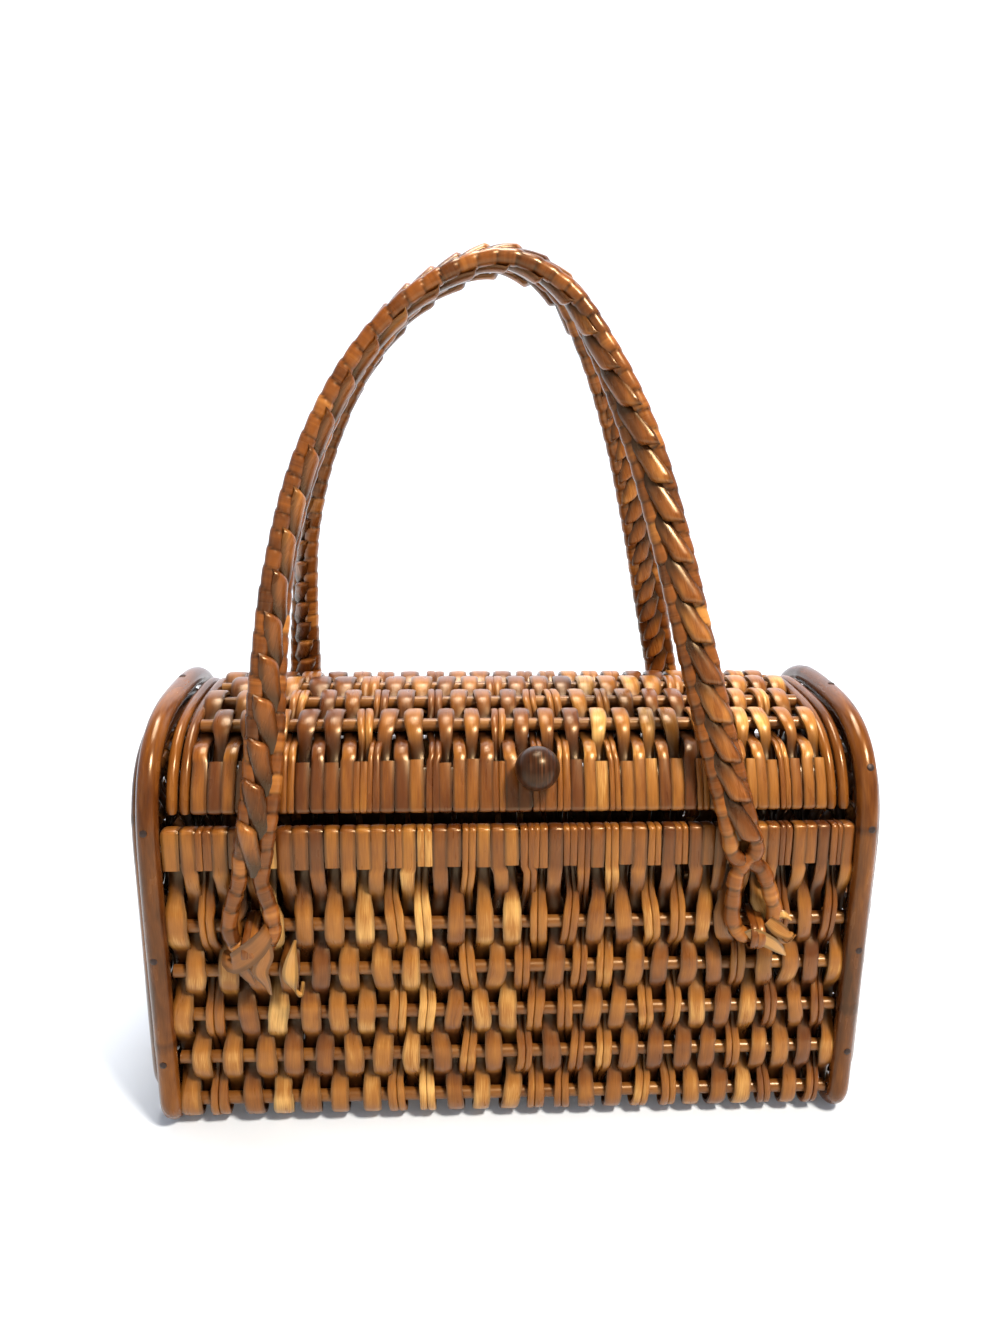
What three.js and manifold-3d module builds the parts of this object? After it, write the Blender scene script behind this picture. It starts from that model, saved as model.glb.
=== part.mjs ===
// Straw basket bag: a loaf-shaped handbag of flat skeins woven over cane rods, with a hinged lid,
// round canes bent about both ends, a wooden knob and two braided handles tied to the top rods.
// Millimetres, +Z up, +X along the width. The front, with the knob, faces -Y.
// The origin is the middle of the base, on the surface that the bag stands on.

import * as THREE from "three";
import { mergeVertices } from "three/addons/utils/BufferGeometryUtils.js";
import Module from "manifold-3d";

const wasm = await Module();
wasm.setup();

// Gap between pieces that touch on the real bag
const GAP = 0.3;

// Loaf shape of the ends, on the centre line of the outer binding cane
const BINDING_SPAN = 225;
const BINDING_DIAMETER = 7;
const RIM_DEPTH = 99;
const RIM_HEIGHT = 142;
const STRAIGHT_HEIGHT = 91;
const SHOULDER_POWER = 3;
const BOTTOM_CORNER = 9;

// Hoop cane that stands just outside each binding cane and frames the end panel
const HOOP_DIAMETER = 8;
const HOOP_OUTSET = 3;

// Woven wall: rods, and flat skeins that pass over and under them
const WALL_DEPTH = 92;
const WALL_HEIGHT = 140;
const WALL_CORNER = 5.5;
const ROD_DIAMETER = 4.4;
const SKEIN = 1.5;
const FRONT_ROD_HEIGHT = 73.7;
const FRONT_ROD_PITCH = 16.1;
const FRONT_ROD_COUNT = 5;
const BASE_ROD_PITCH = 15.5;
const BASE_ROD_COUNT = 5;

// Wrapped rails along the top of the body
const RAIL_THICKNESS = 6.4;
const RAIL_CHAMFER = 1.5;
const RAIL_WIDTH = 12.6;
const FRONT_RAIL_BELOW_LID = 4.8;
const BACK_RAIL_BELOW_HINGE = 5;

// Lid, measured round its curve from its front edge
const LID_EDGE_HEIGHT = 112;
const LID_RAIL_WIDTH = 15;
const LID_ROD_START = 30.7;
const LID_ROD_COUNT = 5;
const LID_CANE_DIAMETER = 3.8;
const LID_SIDE_CLEARANCE = 1.2;

// Hinge: loops of cane skein about the lid's back rod and the body's back rail
const HINGE_HEIGHT = 109.5;
const LOOP_WIDTH = 6;
const LOOP_THICKNESS = 1.4;
const LOOP_SLACK = 0.65;
const LOOP_SPACING = 50;
const LOOP_COUNT = 3;
const NOTCH_ABOVE_HINGE = 8;
const NOTCH_CLEARANCE = 0.5;

// Knob
const KNOB_DIAMETER = 14;
const KNOB_STEM_DIAMETER = 5;
const KNOB_ACROSS = 7.3;
const KNOB_FROM_LID_EDGE = 11.5;

// Braided handles
const HANDLE_WIDTH = 12.5;
const HANDLE_THICKNESS = 6.4;
const HANDLE_TOP = 281.5;
const HANDLE_SPREAD = 78;
const HANDLE_TOP_GAP = 16.5;
const HANDLE_LEAN_HEIGHT = 112;
const EYE_LENGTH = 30;
const EYE_WIDTH = 13.3;
const EYE_ROPE_DIAMETER = 5.4;
const LEFT_EYE_DROP = 4;
const RIGHT_EYE_DROP = 1.5;
const TIE_WIDTH = 4.6;
const TIE_THICKNESS = 1.4;
const TIE_SLACK = 0.9;

// Smoothness of the faceted curves
const CANE_SIDES = 10;
const ROD_SIDES = 10;
const THIN_SIDES = 8;
const BEND_STEP = 13;
const FINE_SAMPLES = 480;
const HANDLE_STEPS = 46;
const EYE_STEPS = 18;
const LOOP_STEPS = 8;

// Swell of the woven wall beside a rod: distance in rod diameters, and share of the full swell
const SWELL = [
  { beside: 0.4, swell: 1 },
  { beside: 1.0, swell: 0.5 },
  { beside: 1.6, swell: 0 },
];

// Centre line of a handle: share of the spread, left to right, share of the rise over the eyes,
// and how many degrees the band is turned edge-on there
const HANDLE_LINE = [
  { across: -0.99, rise: 0.1, twist: 0 },
  { across: -0.935, rise: 0.24, twist: 0 },
  { across: -0.905, rise: 0.41, twist: 40 },
  { across: -0.86, rise: 0.56, twist: 60 },
  { across: -0.755, rise: 0.71, twist: 62 },
  { across: -0.56, rise: 0.855, twist: 70 },
  { across: -0.31, rise: 0.955, twist: 85 },
  { across: -0.02, rise: 1, twist: 90 },
  { across: 0.21, rise: 0.962, twist: 85 },
  { across: 0.37, rise: 0.87, twist: 60 },
  { across: 0.52, rise: 0.74, twist: 25 },
  { across: 0.635, rise: 0.59, twist: 5 },
  { across: 0.735, rise: 0.43, twist: 0 },
  { across: 0.85, rise: 0.25, twist: 0 },
  { across: 0.955, rise: 0.1, twist: 0 },
];

// Half outline of a handle's eye: share of its half width, and share of its length from the foot up
const EYE_LINE = [
  { across: 0, up: 0 },
  { across: 0.6, up: 0.015 },
  { across: 1, up: 0.18 },
  { across: 0.9, up: 0.45 },
  { across: 0.5, up: 0.78 },
  { across: 0.12, up: 1 },
];

const ROD_RADIUS = ROD_DIAMETER / 2;
const BINDING_RADIUS = BINDING_DIAMETER / 2;
const HOOP_RADIUS = HOOP_DIAMETER / 2;
const LOOP_RADIUS = RAIL_THICKNESS / 2 + LOOP_SLACK;

const FRONT_RAIL_TOP = LID_EDGE_HEIGHT - FRONT_RAIL_BELOW_LID;
const FRONT_RAIL_BOTTOM = FRONT_RAIL_TOP - RAIL_WIDTH;
const BACK_RAIL_TOP = HINGE_HEIGHT - BACK_RAIL_BELOW_HINGE;
const BACK_RAIL_BOTTOM = BACK_RAIL_TOP - RAIL_WIDTH;

// The bag stands on the flat facets of the binding canes and of the woven base
const RIM_BOTTOM = BINDING_RADIUS * Math.cos(Math.PI / CANE_SIDES);
const WALL_SWOLLEN = ROD_RADIUS + SKEIN;

const BINDING_X = BINDING_SPAN / 2;
const HOOP_X = BINDING_X + HOOP_OUTSET;
const HOOP_INSET = Math.sqrt((BINDING_RADIUS + HOOP_RADIUS + GAP) ** 2 - HOOP_OUTSET ** 2);
const PANEL_INSET = HOOP_INSET + HOOP_RADIUS + GAP;
const PANEL_X = HOOP_X - 2;
const BODY_END = BINDING_X - BINDING_RADIUS - GAP;
const LID_OUTER_CANE_X = BINDING_X - BINDING_RADIUS - LID_SIDE_CLEARANCE - LID_CANE_DIAMETER / 2;
const LID_INNER_CANE_X = LID_OUTER_CANE_X - LID_CANE_DIAMETER - GAP;
const LID_END = LID_INNER_CANE_X - LID_CANE_DIAMETER / 2 - GAP;

const REED = new THREE.MeshStandardMaterial({ color: 0xb9793a, roughness: 0.42, metalness: 0 });
const CANE = new THREE.MeshStandardMaterial({ color: 0x9a5526, roughness: 0.3, metalness: 0 });
const ROD = new THREE.MeshStandardMaterial({ color: 0x8a4a20, roughness: 0.35, metalness: 0 });
const BRAID = new THREE.MeshStandardMaterial({ color: 0xa8622c, roughness: 0.38, metalness: 0 });
const KNOB_WOOD = new THREE.MeshStandardMaterial({ color: 0x4a2412, roughness: 0.35, metalness: 0 });

const X_AXIS = new THREE.Vector3(1, 0, 0);
const Y_AXIS = new THREE.Vector3(0, 1, 0);
const Z_AXIS = new THREE.Vector3(0, 0, 1);

// Closed-solid helpers

function positionsOnly(geometry) {
  const bare = geometry.clone();
  bare.deleteAttribute("normal");
  bare.deleteAttribute("uv");
  return mergeVertices(bare, 1e-4);
}

function toSolid(geometry) {
  const merged = positionsOnly(geometry);
  return new wasm.Manifold(new wasm.Mesh({
    numProp: 3,
    vertProperties: new Float32Array(merged.attributes.position.array),
    triVerts: new Uint32Array(merged.index.array),
  }));
}

function toGeometry(solid) {
  const mesh = solid.getMesh();
  const geometry = new THREE.BufferGeometry();
  geometry.setAttribute("position", new THREE.BufferAttribute(mesh.vertProperties, 3));
  geometry.setIndex(new THREE.BufferAttribute(mesh.triVerts, 1));
  geometry.computeVertexNormals();
  return geometry;
}

function cut(geometry, cutters) {
  let solid = toSolid(geometry);
  for (const cutter of cutters) {
    solid = solid.subtract(toSolid(cutter));
  }
  return toGeometry(solid);
}

function join(pieces) {
  let solid = toSolid(pieces[0]);
  for (const piece of pieces.slice(1)) {
    solid = solid.add(toSolid(piece));
  }
  return toGeometry(solid);
}

function box(fromX, toX, fromY, toY, fromZ, toZ) {
  const geometry = new THREE.BoxGeometry(toX - fromX, toY - fromY, toZ - fromZ);
  return geometry.translate((fromX + toX) / 2, (fromY + toY) / 2, (fromZ + toZ) / 2);
}

// A shape drawn in (y, z) becomes a solid that runs along X
function extrudeAcross(shape, fromX, toX) {
  const geometry = new THREE.ExtrudeGeometry(shape, { depth: toX - fromX, bevelEnabled: false });
  geometry.translate(0, 0, fromX);
  return geometry.applyMatrix4(new THREE.Matrix4().makeBasis(Y_AXIS, Z_AXIS, X_AXIS));
}

// A shape drawn in (x, z) becomes a solid that runs along Y, the same way to both sides of Y = 0
function extrudeDeep(shape, depth) {
  const geometry = new THREE.ExtrudeGeometry(shape, { depth, bevelEnabled: false });
  geometry.translate(0, 0, -depth / 2);
  return geometry.applyMatrix4(new THREE.Matrix4().makeBasis(X_AXIS, Z_AXIS, Y_AXIS.clone().negate()));
}

// A regular polygon drawn round a centre, as a list of points
function roundOutline(centre, radius, sides, turn = 0.5) {
  const outline = [];
  for (let i = 0; i < sides; i += 1) {
    const angle = ((i + turn) / sides) * 2 * Math.PI;
    outline.push(new THREE.Vector2(centre.x + radius * Math.cos(angle), centre.y + radius * Math.sin(angle)));
  }
  return outline;
}

// The outline of a loop drawn tight about two equal circles
function beltOutline(first, second, radius) {
  const outline = [];
  const run = second.clone().sub(first).angle();
  for (const [centre, start] of [[second, run - Math.PI / 2], [first, run + Math.PI / 2]]) {
    for (let i = 0; i <= LOOP_STEPS; i += 1) {
      const angle = start + (i / LOOP_STEPS) * Math.PI;
      outline.push(new THREE.Vector2(centre.x + radius * Math.cos(angle), centre.y + radius * Math.sin(angle)));
    }
  }
  return outline;
}

function beltRing(first, second, radius, thickness, centreX, width) {
  const shape = new THREE.Shape(beltOutline(first, second, radius + thickness));
  shape.holes.push(new THREE.Path(beltOutline(first, second, radius)));
  return extrudeAcross(shape, centreX - width / 2, centreX + width / 2);
}

// A measured line in (y, z): the distance along it is its reach

function measuredLine(points) {
  const reach = [0];
  for (let i = 1; i < points.length; i += 1) {
    reach.push(reach[i - 1] + points[i].distanceTo(points[i - 1]));
  }
  return { points, reach, length: reach[reach.length - 1] };
}

// The place at a reach, the direction along the line there and the direction out of the loaf
function placeAt(line, reach) {
  const whole = ((reach % line.length) + line.length) % line.length;
  let i = 1;
  while (i < line.reach.length - 1 && line.reach[i] < whole) {
    i += 1;
  }
  const from = line.points[i - 1];
  const to = line.points[i];
  const share = (whole - line.reach[i - 1]) / (line.reach[i] - line.reach[i - 1]);
  const along = to.clone().sub(from).normalize();
  return { place: from.clone().lerp(to, share), along, out: new THREE.Vector2(along.y, -along.x) };
}

// The loaf-shaped outline: from the middle of the top to the front, down, along the base and up the back
function loafLine(depth, bottom, straight, top, corner) {
  const half = depth / 2;
  const points = [];
  for (let i = 0; i <= FINE_SAMPLES; i += 1) {
    const angle = ((1 - i / FINE_SAMPLES) * Math.PI) / 2;
    const y = -half * Math.cos(angle) ** (2 / SHOULDER_POWER);
    const z = straight + (top - straight) * Math.sin(angle) ** (2 / SHOULDER_POWER);
    points.push(new THREE.Vector2(y, z));
  }
  for (let i = 0; i <= FINE_SAMPLES; i += 1) {
    const angle = Math.PI + ((i / FINE_SAMPLES) * Math.PI) / 2;
    points.push(new THREE.Vector2(
      -half + corner + corner * Math.cos(angle),
      bottom + corner + corner * Math.sin(angle),
    ));
  }
  const back = points.map((point) => new THREE.Vector2(-point.x, point.y)).reverse();
  return measuredLine([...points, ...back]);
}

// The reach where the front or the back of a line is at a height
function reachAtHeight(line, height, side) {
  const order = line.points.map((point, i) => i);
  if (side === "back") {
    order.reverse();
  }
  const found = order.findIndex((i) => line.points[i].y <= height);
  const below = order[found];
  const above = order[found - 1];
  const share = (height - line.points[below].y) / (line.points[above].y - line.points[below].y);
  return line.reach[below] + share * (line.reach[above] - line.reach[below]);
}

// Reaches at which the line has turned by one bend step since the last
function bendReaches(line, from, to) {
  const reaches = [];
  let last = placeAt(line, from).along;
  const step = (to - from) / FINE_SAMPLES;
  for (let i = 1; i < FINE_SAMPLES; i += 1) {
    const along = placeAt(line, from + i * step).along;
    if (last.angleTo(along) > THREE.MathUtils.degToRad(BEND_STEP)) {
      reaches.push(from + i * step);
      last = along;
    }
  }
  return reaches;
}

// Stations of a swept cane along a line, at one X
class CaneCurve extends THREE.Curve {
  constructor(line, reaches, x) {
    super();
    this.stations = reaches.map((reach) => placeAt(line, reach));
    this.x = x;
  }

  station(share) {
    return this.stations[Math.min(Math.round(share * (this.stations.length - 1)), this.stations.length - 1)];
  }

  getPointAt(share) {
    const { place } = this.station(share);
    return new THREE.Vector3(this.x, place.x, place.y);
  }

  getTangentAt(share) {
    const { along } = this.station(share);
    return new THREE.Vector3(0, along.x, along.y);
  }
}

// A closed cane about the whole loaf outline
function loopedCane(line, x, radius) {
  const reaches = [0, ...bendReaches(line, 0, line.length), line.length];
  const curve = new CaneCurve(line, reaches, x);
  return positionsOnly(new THREE.TubeGeometry(curve, reaches.length - 1, radius, CANE_SIDES, true));
}

// Woven wall: thin between the rods, and swollen where the skeins pass over and under a rod

function halfThickness(reach, rods) {
  let swell = 0;
  for (const rod of rods) {
    const beside = Math.abs(reach - rod) / ROD_DIAMETER;
    const next = SWELL.findIndex((row) => row.beside >= beside - 1e-6);
    if (next === 0) {
      swell = 1;
    } else if (next > 0) {
      const low = SWELL[next - 1];
      const high = SWELL[next];
      const share = (beside - low.beside) / (high.beside - low.beside);
      swell = Math.max(swell, low.swell + share * (high.swell - low.swell));
    }
  }
  return SKEIN + swell * (WALL_SWOLLEN - SKEIN);
}

function wallReaches(line, from, to, rods) {
  const reaches = [from, to, ...bendReaches(line, from, to)];
  for (const rod of rods) {
    for (const { beside } of SWELL) {
      reaches.push(rod - beside * ROD_DIAMETER, rod + beside * ROD_DIAMETER);
    }
  }
  const inside = reaches.filter((reach) => reach >= from && reach <= to).sort((a, b) => a - b);
  return inside.filter((reach, i) => i === 0 || reach - inside[i - 1] > GAP);
}

function wallShape(line, from, to, rods, wrappedEnd = false) {
  const outside = [];
  const inside = [];
  for (const reach of wallReaches(line, from, to, rods)) {
    const { place, out } = placeAt(line, reach);
    const half = halfThickness(reach, rods);
    outside.push(place.clone().addScaledVector(out, half));
    inside.push(place.clone().addScaledVector(out, -half));
  }
  const edge = [];
  if (wrappedEnd) {
    const { place, along, out } = placeAt(line, from);
    for (let i = 1; i < LOOP_STEPS; i += 1) {
      const angle = (i / LOOP_STEPS) * Math.PI;
      edge.push(place.clone()
        .addScaledVector(out, -WALL_SWOLLEN * Math.cos(angle))
        .addScaledVector(along, -WALL_SWOLLEN * Math.sin(angle)));
    }
  }
  const shape = new THREE.Shape([...outside, ...inside.reverse(), ...edge]);
  for (const rod of rods) {
    shape.holes.push(new THREE.Path(roundOutline(placeAt(line, rod).place, ROD_RADIUS + GAP, ROD_SIDES)));
  }
  return shape;
}

// A wrapped rail follows the wall's line between two reaches, with its edges rounded off
function railShape(line, from, to) {
  const half = RAIL_THICKNESS / 2;
  const rows = [
    { reach: from, half: half - RAIL_CHAMFER },
    { reach: from + RAIL_CHAMFER, half },
    { reach: (from + to) / 2, half },
    { reach: to - RAIL_CHAMFER, half },
    { reach: to, half: half - RAIL_CHAMFER },
  ];
  const side = (sign, list) => list.map((row) => {
    const { place, out } = placeAt(line, row.reach);
    return place.clone().addScaledVector(out, sign * row.half);
  });
  return new THREE.Shape([...side(1, rows), ...side(-1, rows.slice().reverse())]);
}

function rodSolid(line, reach, end) {
  const { place } = placeAt(line, reach);
  return extrudeAcross(new THREE.Shape(roundOutline(place, ROD_RADIUS, ROD_SIDES)), -end, end);
}

// The lines that everything follows

const rimLine = loafLine(RIM_DEPTH, RIM_BOTTOM, STRAIGHT_HEIGHT, RIM_HEIGHT - BINDING_RADIUS, BOTTOM_CORNER);
const wallLine = loafLine(WALL_DEPTH, WALL_SWOLLEN, STRAIGHT_HEIGHT, WALL_HEIGHT - WALL_SWOLLEN, WALL_CORNER);

function insetRim(inset) {
  return loafLine(
    RIM_DEPTH - 2 * inset,
    RIM_BOTTOM + inset,
    STRAIGHT_HEIGHT,
    RIM_HEIGHT - BINDING_RADIUS - inset,
    BOTTOM_CORNER,
  );
}

function onFront(height) {
  return reachAtHeight(wallLine, height, "front");
}

function onBack(height) {
  return reachAtHeight(wallLine, height, "back");
}

const frontRods = [];
const backRods = [];
for (let i = 0; i < FRONT_ROD_COUNT; i += 1) {
  const height = FRONT_ROD_HEIGHT - i * FRONT_ROD_PITCH;
  frontRods.push(onFront(height));
  backRods.push(onBack(height));
}
const baseRods = [];
for (let i = 0; i < BASE_ROD_COUNT; i += 1) {
  baseRods.push(wallLine.length / 2 + (i - (BASE_ROD_COUNT - 1) / 2) * BASE_ROD_PITCH);
}
const bodyRods = [...frontRods, ...baseRods, ...backRods];

const lidFront = onFront(LID_EDGE_HEIGHT);
const lidHinge = onBack(HINGE_HEIGHT) - wallLine.length;
const lidRodPitch = (lidFront - LID_ROD_START - lidHinge) / LID_ROD_COUNT;
const lidRods = [];
for (let i = 0; i < LID_ROD_COUNT; i += 1) {
  lidRods.push(lidFront - LID_ROD_START - i * lidRodPitch);
}
const hingePlace = placeAt(wallLine, lidHinge).place;

// Feet of the handles: the middle of each eye's lowest bar
const HANDLE_PLANE = WALL_DEPTH / 2 + WALL_SWOLLEN + GAP + HANDLE_THICKNESS / 2;
const feet = [
  { side: "left", across: -HANDLE_SPREAD - LEFT_EYE_DROP, height: FRONT_ROD_HEIGHT - LEFT_EYE_DROP },
  { side: "right", across: HANDLE_SPREAD, height: FRONT_ROD_HEIGHT - RIGHT_EYE_DROP },
];

// Loops that hold the lid to the back rail
const loopPlaces = [];
for (let i = 0; i < LOOP_COUNT; i += 1) {
  loopPlaces.push((i - (LOOP_COUNT - 1) / 2) * LOOP_SPACING);
}

const model = new THREE.Group();

function addMesh(name, geometry, material) {
  const mesh = new THREE.Mesh(geometry, material.clone());
  mesh.name = name;
  model.add(mesh);
  return mesh;
}

// Bent canes and woven panel of one end
function addEnd(side, sign) {
  addMesh(`binding_cane_${side}`, loopedCane(rimLine, sign * BINDING_X, BINDING_RADIUS), CANE);
  addMesh(`end_hoop_${side}`, loopedCane(insetRim(HOOP_INSET), sign * HOOP_X, HOOP_RADIUS), CANE);
  addMesh(`end_panel_${side}`, endPanel(sign), REED);
}

// The end panel: the same weave in a flat sheet, cut to the hoop's inside
function endPanel(sign) {
  const edge = insetRim(PANEL_INSET);
  const stations = [0, ...bendReaches(edge, 0, edge.length)];
  const outline = new THREE.Shape(stations.map((reach) => placeAt(edge, reach).place));
  const upright = measuredLine([new THREE.Vector2(0, 0), new THREE.Vector2(0, RIM_HEIGHT)]);
  const heights = [];
  for (let height = FRONT_ROD_HEIGHT % FRONT_ROD_PITCH; height < RIM_HEIGHT; height += FRONT_ROD_PITCH) {
    heights.push(height);
  }
  const sheet = wallShape(upright, 0, RIM_HEIGHT * 0.999, heights);
  sheet.holes = [];
  const ribbed = extrudeDeep(sheet, RIM_DEPTH).translate(sign * PANEL_X, 0, 0);
  const reach = WALL_SWOLLEN * 2;
  const whole = extrudeAcross(outline, sign * PANEL_X - reach, sign * PANEL_X + reach);
  return toGeometry(toSolid(ribbed).intersect(toSolid(whole)));
}

// Body: woven wall, rods and rails
function addBody() {
  const wall = extrudeAcross(
    wallShape(wallLine, onFront(FRONT_RAIL_BOTTOM - GAP), onBack(BACK_RAIL_BOTTOM - GAP), bodyRods),
    -BODY_END,
    BODY_END,
  );
  addMesh("body_weave", cut(wall, [...tieSlots(), ...loopSlots()]), REED);
  const groups = { front: frontRods, base: baseRods, back: backRods };
  for (const [place, rods] of Object.entries(groups)) {
    rods.forEach((reach, i) => {
      addMesh(`rod_${place}_${i + 1}`, rodSolid(wallLine, reach, BODY_END), ROD);
    });
  }
  const frontRail = railShape(wallLine, onFront(FRONT_RAIL_TOP), onFront(FRONT_RAIL_BOTTOM));
  addMesh("front_rail", extrudeAcross(frontRail, -BODY_END, BODY_END), REED);
  const backRail = railShape(wallLine, onBack(BACK_RAIL_BOTTOM), onBack(BACK_RAIL_TOP));
  addMesh("back_rail", extrudeAcross(backRail, -BODY_END, BODY_END), REED);
}

// Openings in the wall beside the top rods, for the handles' ties
function tieSlots() {
  const half = TIE_WIDTH / 2 + GAP;
  const slots = [];
  for (const foot of feet) {
    for (const sign of [-1, 1]) {
      const y = sign * (WALL_DEPTH / 2);
      const around = EYE_ROPE_DIAMETER / 2 + TIE_SLACK + TIE_THICKNESS + GAP;
      const low = foot.height - around;
      const high = FRONT_ROD_HEIGHT + around;
      slots.push(box(
        foot.across - half, foot.across + half,
        y - 2 * WALL_SWOLLEN, y + 2 * WALL_SWOLLEN,
        low, high,
      ));
    }
  }
  return slots;
}

// Openings under the back rail, for the hinge loops
function loopSlots() {
  const half = LOOP_WIDTH / 2 + GAP;
  const low = BACK_RAIL_BOTTOM - LOOP_THICKNESS - 4 * GAP;
  const y = WALL_DEPTH / 2;
  return loopPlaces.map((x) => box(
    x - half, x + half,
    y - 2 * WALL_SWOLLEN, y + 2 * WALL_SWOLLEN,
    low, BACK_RAIL_TOP,
  ));
}

// Lid: wrapped front rail, woven dome, rods and the thin canes along its sides
function addLid() {
  const railBack = lidFront - LID_RAIL_WIDTH;
  const rods = [...lidRods, lidHinge];
  const notchHalf = LOOP_WIDTH / 2 + NOTCH_CLEARANCE;
  const notches = loopPlaces.map((x) => box(
    x - notchHalf, x + notchHalf,
    hingePlace.x - 2 * WALL_SWOLLEN, hingePlace.x + 2 * WALL_SWOLLEN,
    BACK_RAIL_TOP, HINGE_HEIGHT + NOTCH_ABOVE_HINGE,
  ));
  const dome = extrudeAcross(wallShape(wallLine, lidHinge, railBack - GAP, rods, true), -LID_END, LID_END);
  addMesh("lid_weave", cut(dome, notches), REED);
  lidRods.forEach((reach, i) => {
    addMesh(`lid_rod_${i + 1}`, rodSolid(wallLine, reach, LID_END), ROD);
  });
  addMesh("lid_hinge_rod", rodSolid(wallLine, lidHinge, LID_END), ROD);

  const knob = knobSeat();
  const rail = extrudeAcross(railShape(wallLine, railBack, lidFront), -LID_END, LID_END);
  const hole = new THREE.CylinderGeometry(
    KNOB_STEM_DIAMETER / 2 + GAP, KNOB_STEM_DIAMETER / 2 + GAP, 3 * RAIL_THICKNESS, ROD_SIDES,
  );
  hole.applyMatrix4(knob);
  addMesh("lid_front_rail", cut(rail, [hole]), REED);
  addMesh("knob", knobSolid().applyMatrix4(knob), KNOB_WOOD);

  for (const [side, sign] of [["left", -1], ["right", 1]]) {
    addMesh(`lid_outer_cane_${side}`, lidCane(sign * LID_OUTER_CANE_X), CANE);
    addMesh(`lid_inner_cane_${side}`, lidCane(sign * LID_INNER_CANE_X), CANE);
  }
}

// A thin cane bent over the lid, from its front edge to the hinge
function lidCane(x) {
  const from = lidHinge - WALL_SWOLLEN;
  const reaches = [from, ...bendReaches(wallLine, from, lidFront), lidFront];
  const curve = new CaneCurve(wallLine, reaches, x);
  const centre = new THREE.Vector2(0, 0);
  const section = new THREE.Shape(roundOutline(centre, LID_CANE_DIAMETER / 2, THIN_SIDES));
  return positionsOnly(new THREE.ExtrudeGeometry(section, {
    steps: reaches.length - 1,
    extrudePath: curve,
    bevelEnabled: false,
  }));
}

// The knob's frame: its axis points out of the lid's front rail
function knobSeat() {
  const { place, out } = placeAt(wallLine, lidFront - KNOB_FROM_LID_EDGE);
  const outward = new THREE.Vector3(0, out.x, out.y);
  const turn = new THREE.Quaternion().setFromUnitVectors(Y_AXIS, outward);
  return new THREE.Matrix4().compose(
    new THREE.Vector3(KNOB_ACROSS, place.x, place.y),
    turn,
    new THREE.Vector3(1, 1, 1),
  );
}

// A turned ball on a stem that passes through the rail
function knobSolid() {
  const radius = KNOB_DIAMETER / 2;
  const stem = KNOB_STEM_DIAMETER / 2;
  const face = RAIL_THICKNESS / 2 + GAP;
  const centre = face + radius * 0.9;
  const foot = Math.acos(0.9);
  const profile = [new THREE.Vector2(0, -RAIL_THICKNESS / 2), new THREE.Vector2(stem, -RAIL_THICKNESS / 2)];
  profile.push(new THREE.Vector2(stem, face));
  for (let i = 0; i <= LOOP_STEPS; i += 1) {
    const angle = Math.PI - foot - (i / LOOP_STEPS) * (Math.PI - foot);
    profile.push(new THREE.Vector2(radius * Math.sin(angle), centre + radius * Math.cos(angle)));
  }
  profile[profile.length - 1].x = 0;
  return positionsOnly(new THREE.LatheGeometry(profile, CANE_SIDES + 2));
}

// Loops of flat skein about the lid's back rod and the back rail
function addHingeLoops() {
  const drop = LOOP_RADIUS - ROD_RADIUS - GAP;
  const upper = new THREE.Vector2(hingePlace.x, hingePlace.y - drop);
  const corner = Math.sqrt((LOOP_RADIUS - GAP) ** 2 - (RAIL_THICKNESS / 2) ** 2);
  const lowerHeight = BACK_RAIL_BOTTOM + RAIL_CHAMFER + corner;
  const lower = new THREE.Vector2(placeAt(wallLine, onBack(lowerHeight)).place.x, lowerHeight);
  loopPlaces.forEach((x, i) => {
    const ring = beltRing(lower, upper, LOOP_RADIUS, LOOP_THICKNESS, x, LOOP_WIDTH);
    addMesh(`hinge_loop_${i + 1}`, ring, CANE);
  });
}

// Handles: a braided band that ends in an eye at each foot. They are drawn flat and then leant inward

class FlatCurve extends THREE.CatmullRomCurve3 {
  constructor(points, closed) {
    super(points.map(({ x, z }) => new THREE.Vector3(x, 0, z)), closed, "centripetal");
  }
}

// The band's path, about which it turns by the table's twists
class BandCurve extends FlatCurve {
  computeFrenetFrames(steps, closed) {
    const frames = super.computeFrenetFrames(steps, closed);
    for (let i = 0; i <= steps; i += 1) {
      const turn = this.turnAt(this.getUtoTmapping(i / steps));
      frames.normals[i].applyAxisAngle(frames.tangents[i], turn);
      frames.binormals[i].applyAxisAngle(frames.tangents[i], turn);
    }
    return frames;
  }

  turnAt(share) {
    const place = share * (HANDLE_LINE.length - 1);
    const row = Math.min(Math.floor(place), HANDLE_LINE.length - 2);
    const twist = THREE.MathUtils.lerp(HANDLE_LINE[row].twist, HANDLE_LINE[row + 1].twist, place - row);
    return THREE.MathUtils.degToRad(twist);
  }
}

// The table's shares become places: one end of the band meets the top of each eye
function handlePoints() {
  const middle = (feet[0].across + feet[1].across) / 2;
  const half = (feet[1].across - feet[0].across) / 2;
  const low = FRONT_ROD_HEIGHT;
  const high = HANDLE_TOP - HANDLE_THICKNESS / 2;
  return HANDLE_LINE.map(({ across, rise }) => ({
    x: middle + across * half,
    z: low + rise * (high - low),
  }));
}

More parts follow.
